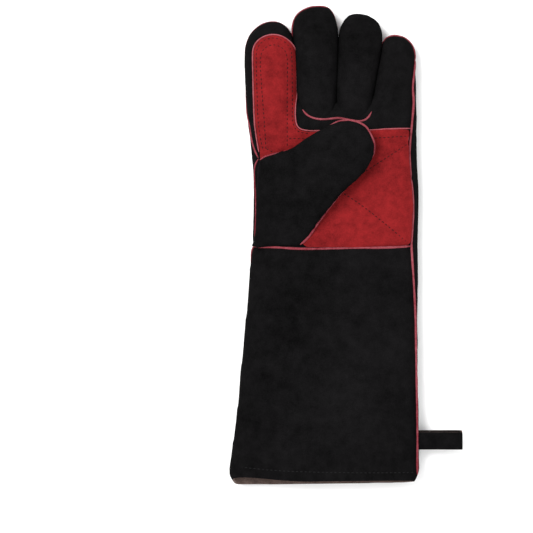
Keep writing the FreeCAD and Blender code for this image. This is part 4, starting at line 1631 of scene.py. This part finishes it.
@dataclass
class HangLoop(Assembly):
    """A strip of black leather folded on itself and caught in the cuff's outer seam."""

    wall: float = 1.7
    gap: float = 0.8
    slip: float = 1.3
    root: float = 68.0

    def _path(self, tip: float, half: float) -> list[Point]:
        """The folded strip seen from its side.

        Args:
            tip: Where the fold's middle line ends, across the glove.
            half: Half the fold's height.

        Returns:
            Places across and up, from the lower layer's root round the eye to the upper layer's root.
        """
        near = (self.gap + self.wall) / 2
        eye = half - self.wall / 2
        lower = [
            (self.root, -near), (self.root + 8, -near), (tip - 16, -near - 0.4), (tip - 8, -eye),
            (tip - 2.6, -eye * 0.9), (tip, -eye * 0.35),
        ]
        return lower + [(x, -z) for x, z in reversed(lower)]

    def cut(self) -> None:
        """Models the folded strip where the CAD has it, one layer shifted a little on the other."""
        low, high = (Vector(c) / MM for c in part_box("hang_loop"))
        middle = (low.z + high.z) / 2
        path = self._path(high.x - self.wall / 2, (high.z - low.z) / 2)
        deselect()
        bpy.ops.mesh.primitive_plane_add(size=1)
        piece = bpy.context.object
        piece.name = piece.data.name = "hang_loop_leather"
        bpy.ops.object.mode_set(mode="EDIT")
        bpy.ops.mesh.select_mode(type="VERT")
        mesh = bmesh.from_edit_mesh(piece.data)
        mesh.verts.ensure_lookup_table()
        bmesh.ops.delete(mesh, geom=list(mesh.verts)[2:], context="VERTS")
        for vertex, y in zip(list(mesh.verts), (low.y, high.y)):
            vertex.co = Vector((path[0][0], y, middle + path[0][1])) * MM
        if not mesh.edges:
            mesh.edges.new(list(mesh.verts))
        bmesh.update_edit_mesh(piece.data)
        bpy.ops.mesh.select_all(action="SELECT")
        for (x0, z0), (x1, z1) in zip(path, path[1:]):
            step = Vector((x1 - x0, 0, z1 - z0)) * MM
            bpy.ops.mesh.extrude_region_move(TRANSFORM_OT_translate={"value": step})
        bpy.ops.mesh.select_all(action="SELECT")
        bpy.ops.mesh.subdivide(number_cuts=1)
        bpy.ops.object.mode_set(mode="OBJECT")
        places = points_of(piece)
        places[:, 1] += self.slip * MM * (places[:, 2] < middle * MM)
        move_points(piece, places)
        dress(piece, Finish.BLACK, Finish.BLACK_EDGE)
        modify(piece, "SOLIDIFY", thickness=self.wall * MM, offset=0, use_rim=True, material_offset_rim=1)
        modify(piece, "BEVEL", width=0.35 * MM, segments=2, limit_method="ANGLE")
        modify(piece, "SUBSURF", levels=2, render_levels=2)
        smooth(piece, 60)
        self.keep(piece)

    def fit(self) -> None:
        """Bakes the loop in place and hides the CAD's loop."""
        Crossing.LOOP.carry(self.pieces["hang_loop_leather"])
        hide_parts("hang_loop")


# ---------------------------------------------------------------- studio


@dataclass
class Studio:
    """A pale floor, soft lights, and a long lens that looks straight down."""

    frame_mm: float = 450.4
    centre: Point = (-56.2, -74.4)
    distance_m: float = 3.0
    focus_m: float = 0.014
    sky: float = 0.65
    # Name, place and side in metres, power in watts.
    lights: tuple[tuple[str, Place, float, float], ...] = (
        ("key", (-0.75, 0.55, 1.5), 0.8, 36.0),
        ("fill", (0.9, -0.2, 1.6), 1.2, 12.0),
        ("front", (-0.2, -1.1, 1.5), 1.2, 10.0),
    )

    def build(self) -> None:
        """Sets the floor, the lights and the camera."""
        self._floor()
        for name, place, size, power in self.lights:
            self._light(name, place, size, power)
        scene = bpy.context.scene
        scene.world = bpy.data.worlds.new("studio")
        scene.world.use_nodes = True
        backdrop = scene.world.node_tree.nodes["Background"]
        backdrop.inputs["Color"].default_value = linear("ffffff")
        backdrop.inputs["Strength"].default_value = self.sky
        scene.view_settings.view_transform = "Standard"
        self._camera()

    def _camera(self) -> None:
        """Hangs the camera over the frame's middle."""
        lens = bpy.data.cameras.new("camera")
        lens.lens = lens.sensor_width * self.distance_m / (self.frame_mm * MM)
        lens.clip_end = 20
        camera = bpy.data.objects.new("camera", lens)
        camera.location = (self.centre[0] * MM, self.centre[1] * MM, self.distance_m + self.focus_m)
        bpy.context.scene.collection.objects.link(camera)
        bpy.context.scene.camera = camera

    @staticmethod
    def _floor() -> None:
        """Lays a wide pale floor."""
        deselect()
        bpy.ops.mesh.primitive_plane_add(size=8, location=(0, 0, -0.0002))
        floor = bpy.context.object
        floor.name = "floor"
        bpy.ops.object.transform_apply(location=True, rotation=True, scale=True)
        paper = bpy.data.materials.new("studio_paper")
        paper.use_nodes = True
        shader = paper.node_tree.nodes["Principled BSDF"]
        shader.inputs["Base Color"].default_value = linear("fafafa")
        shader.inputs["Roughness"].default_value = 0.9
        floor.data.materials.append(paper)

    def _light(self, name: str, place: Place, size: float, power: float) -> None:
        """Hangs a square soft light that looks at the glove.

        Args:
            name: The light's name.
            place: Where it hangs, in metres.
            size: Its side, in metres.
            power: Its power in watts.
        """
        lamp = bpy.data.lights.new(name, "AREA")
        lamp.size = size
        lamp.energy = power
        light = bpy.data.objects.new(name, lamp)
        target = Vector((*self.centre, 0)) * MM
        light.location = place
        light.rotation_euler = (target - Vector(place)).to_track_quat("-Z", "Y").to_euler()
        bpy.context.scene.collection.objects.link(light)


# ---------------------------------------------------------------- the whole glove


def main() -> None:
    """Builds the glove, sub-assembly by sub-assembly, and reports each piece."""
    logging.basicConfig(level=logging.INFO, format="%(message)s")
    Studio().build()
    gauntlet, middle, ring, thumb = Gauntlet(), middle_stall(), ring_stall(), Thumb()
    for soft in (gauntlet, middle, ring, thumb):
        soft.sew()
    patch, tab, loop = Patch(), Tab(), HangLoop()
    patch.sew(Surface(gauntlet.skin))
    gauntlet.trim(middle.leather, ring.leather)
    gauntlet.cut()
    tab.cut()
    loop.cut()
    for assembly in (gauntlet, middle, ring, thumb, patch, tab, loop):
        assembly.fit()
        assembly.report()


if __name__ == "__main__":
    main()
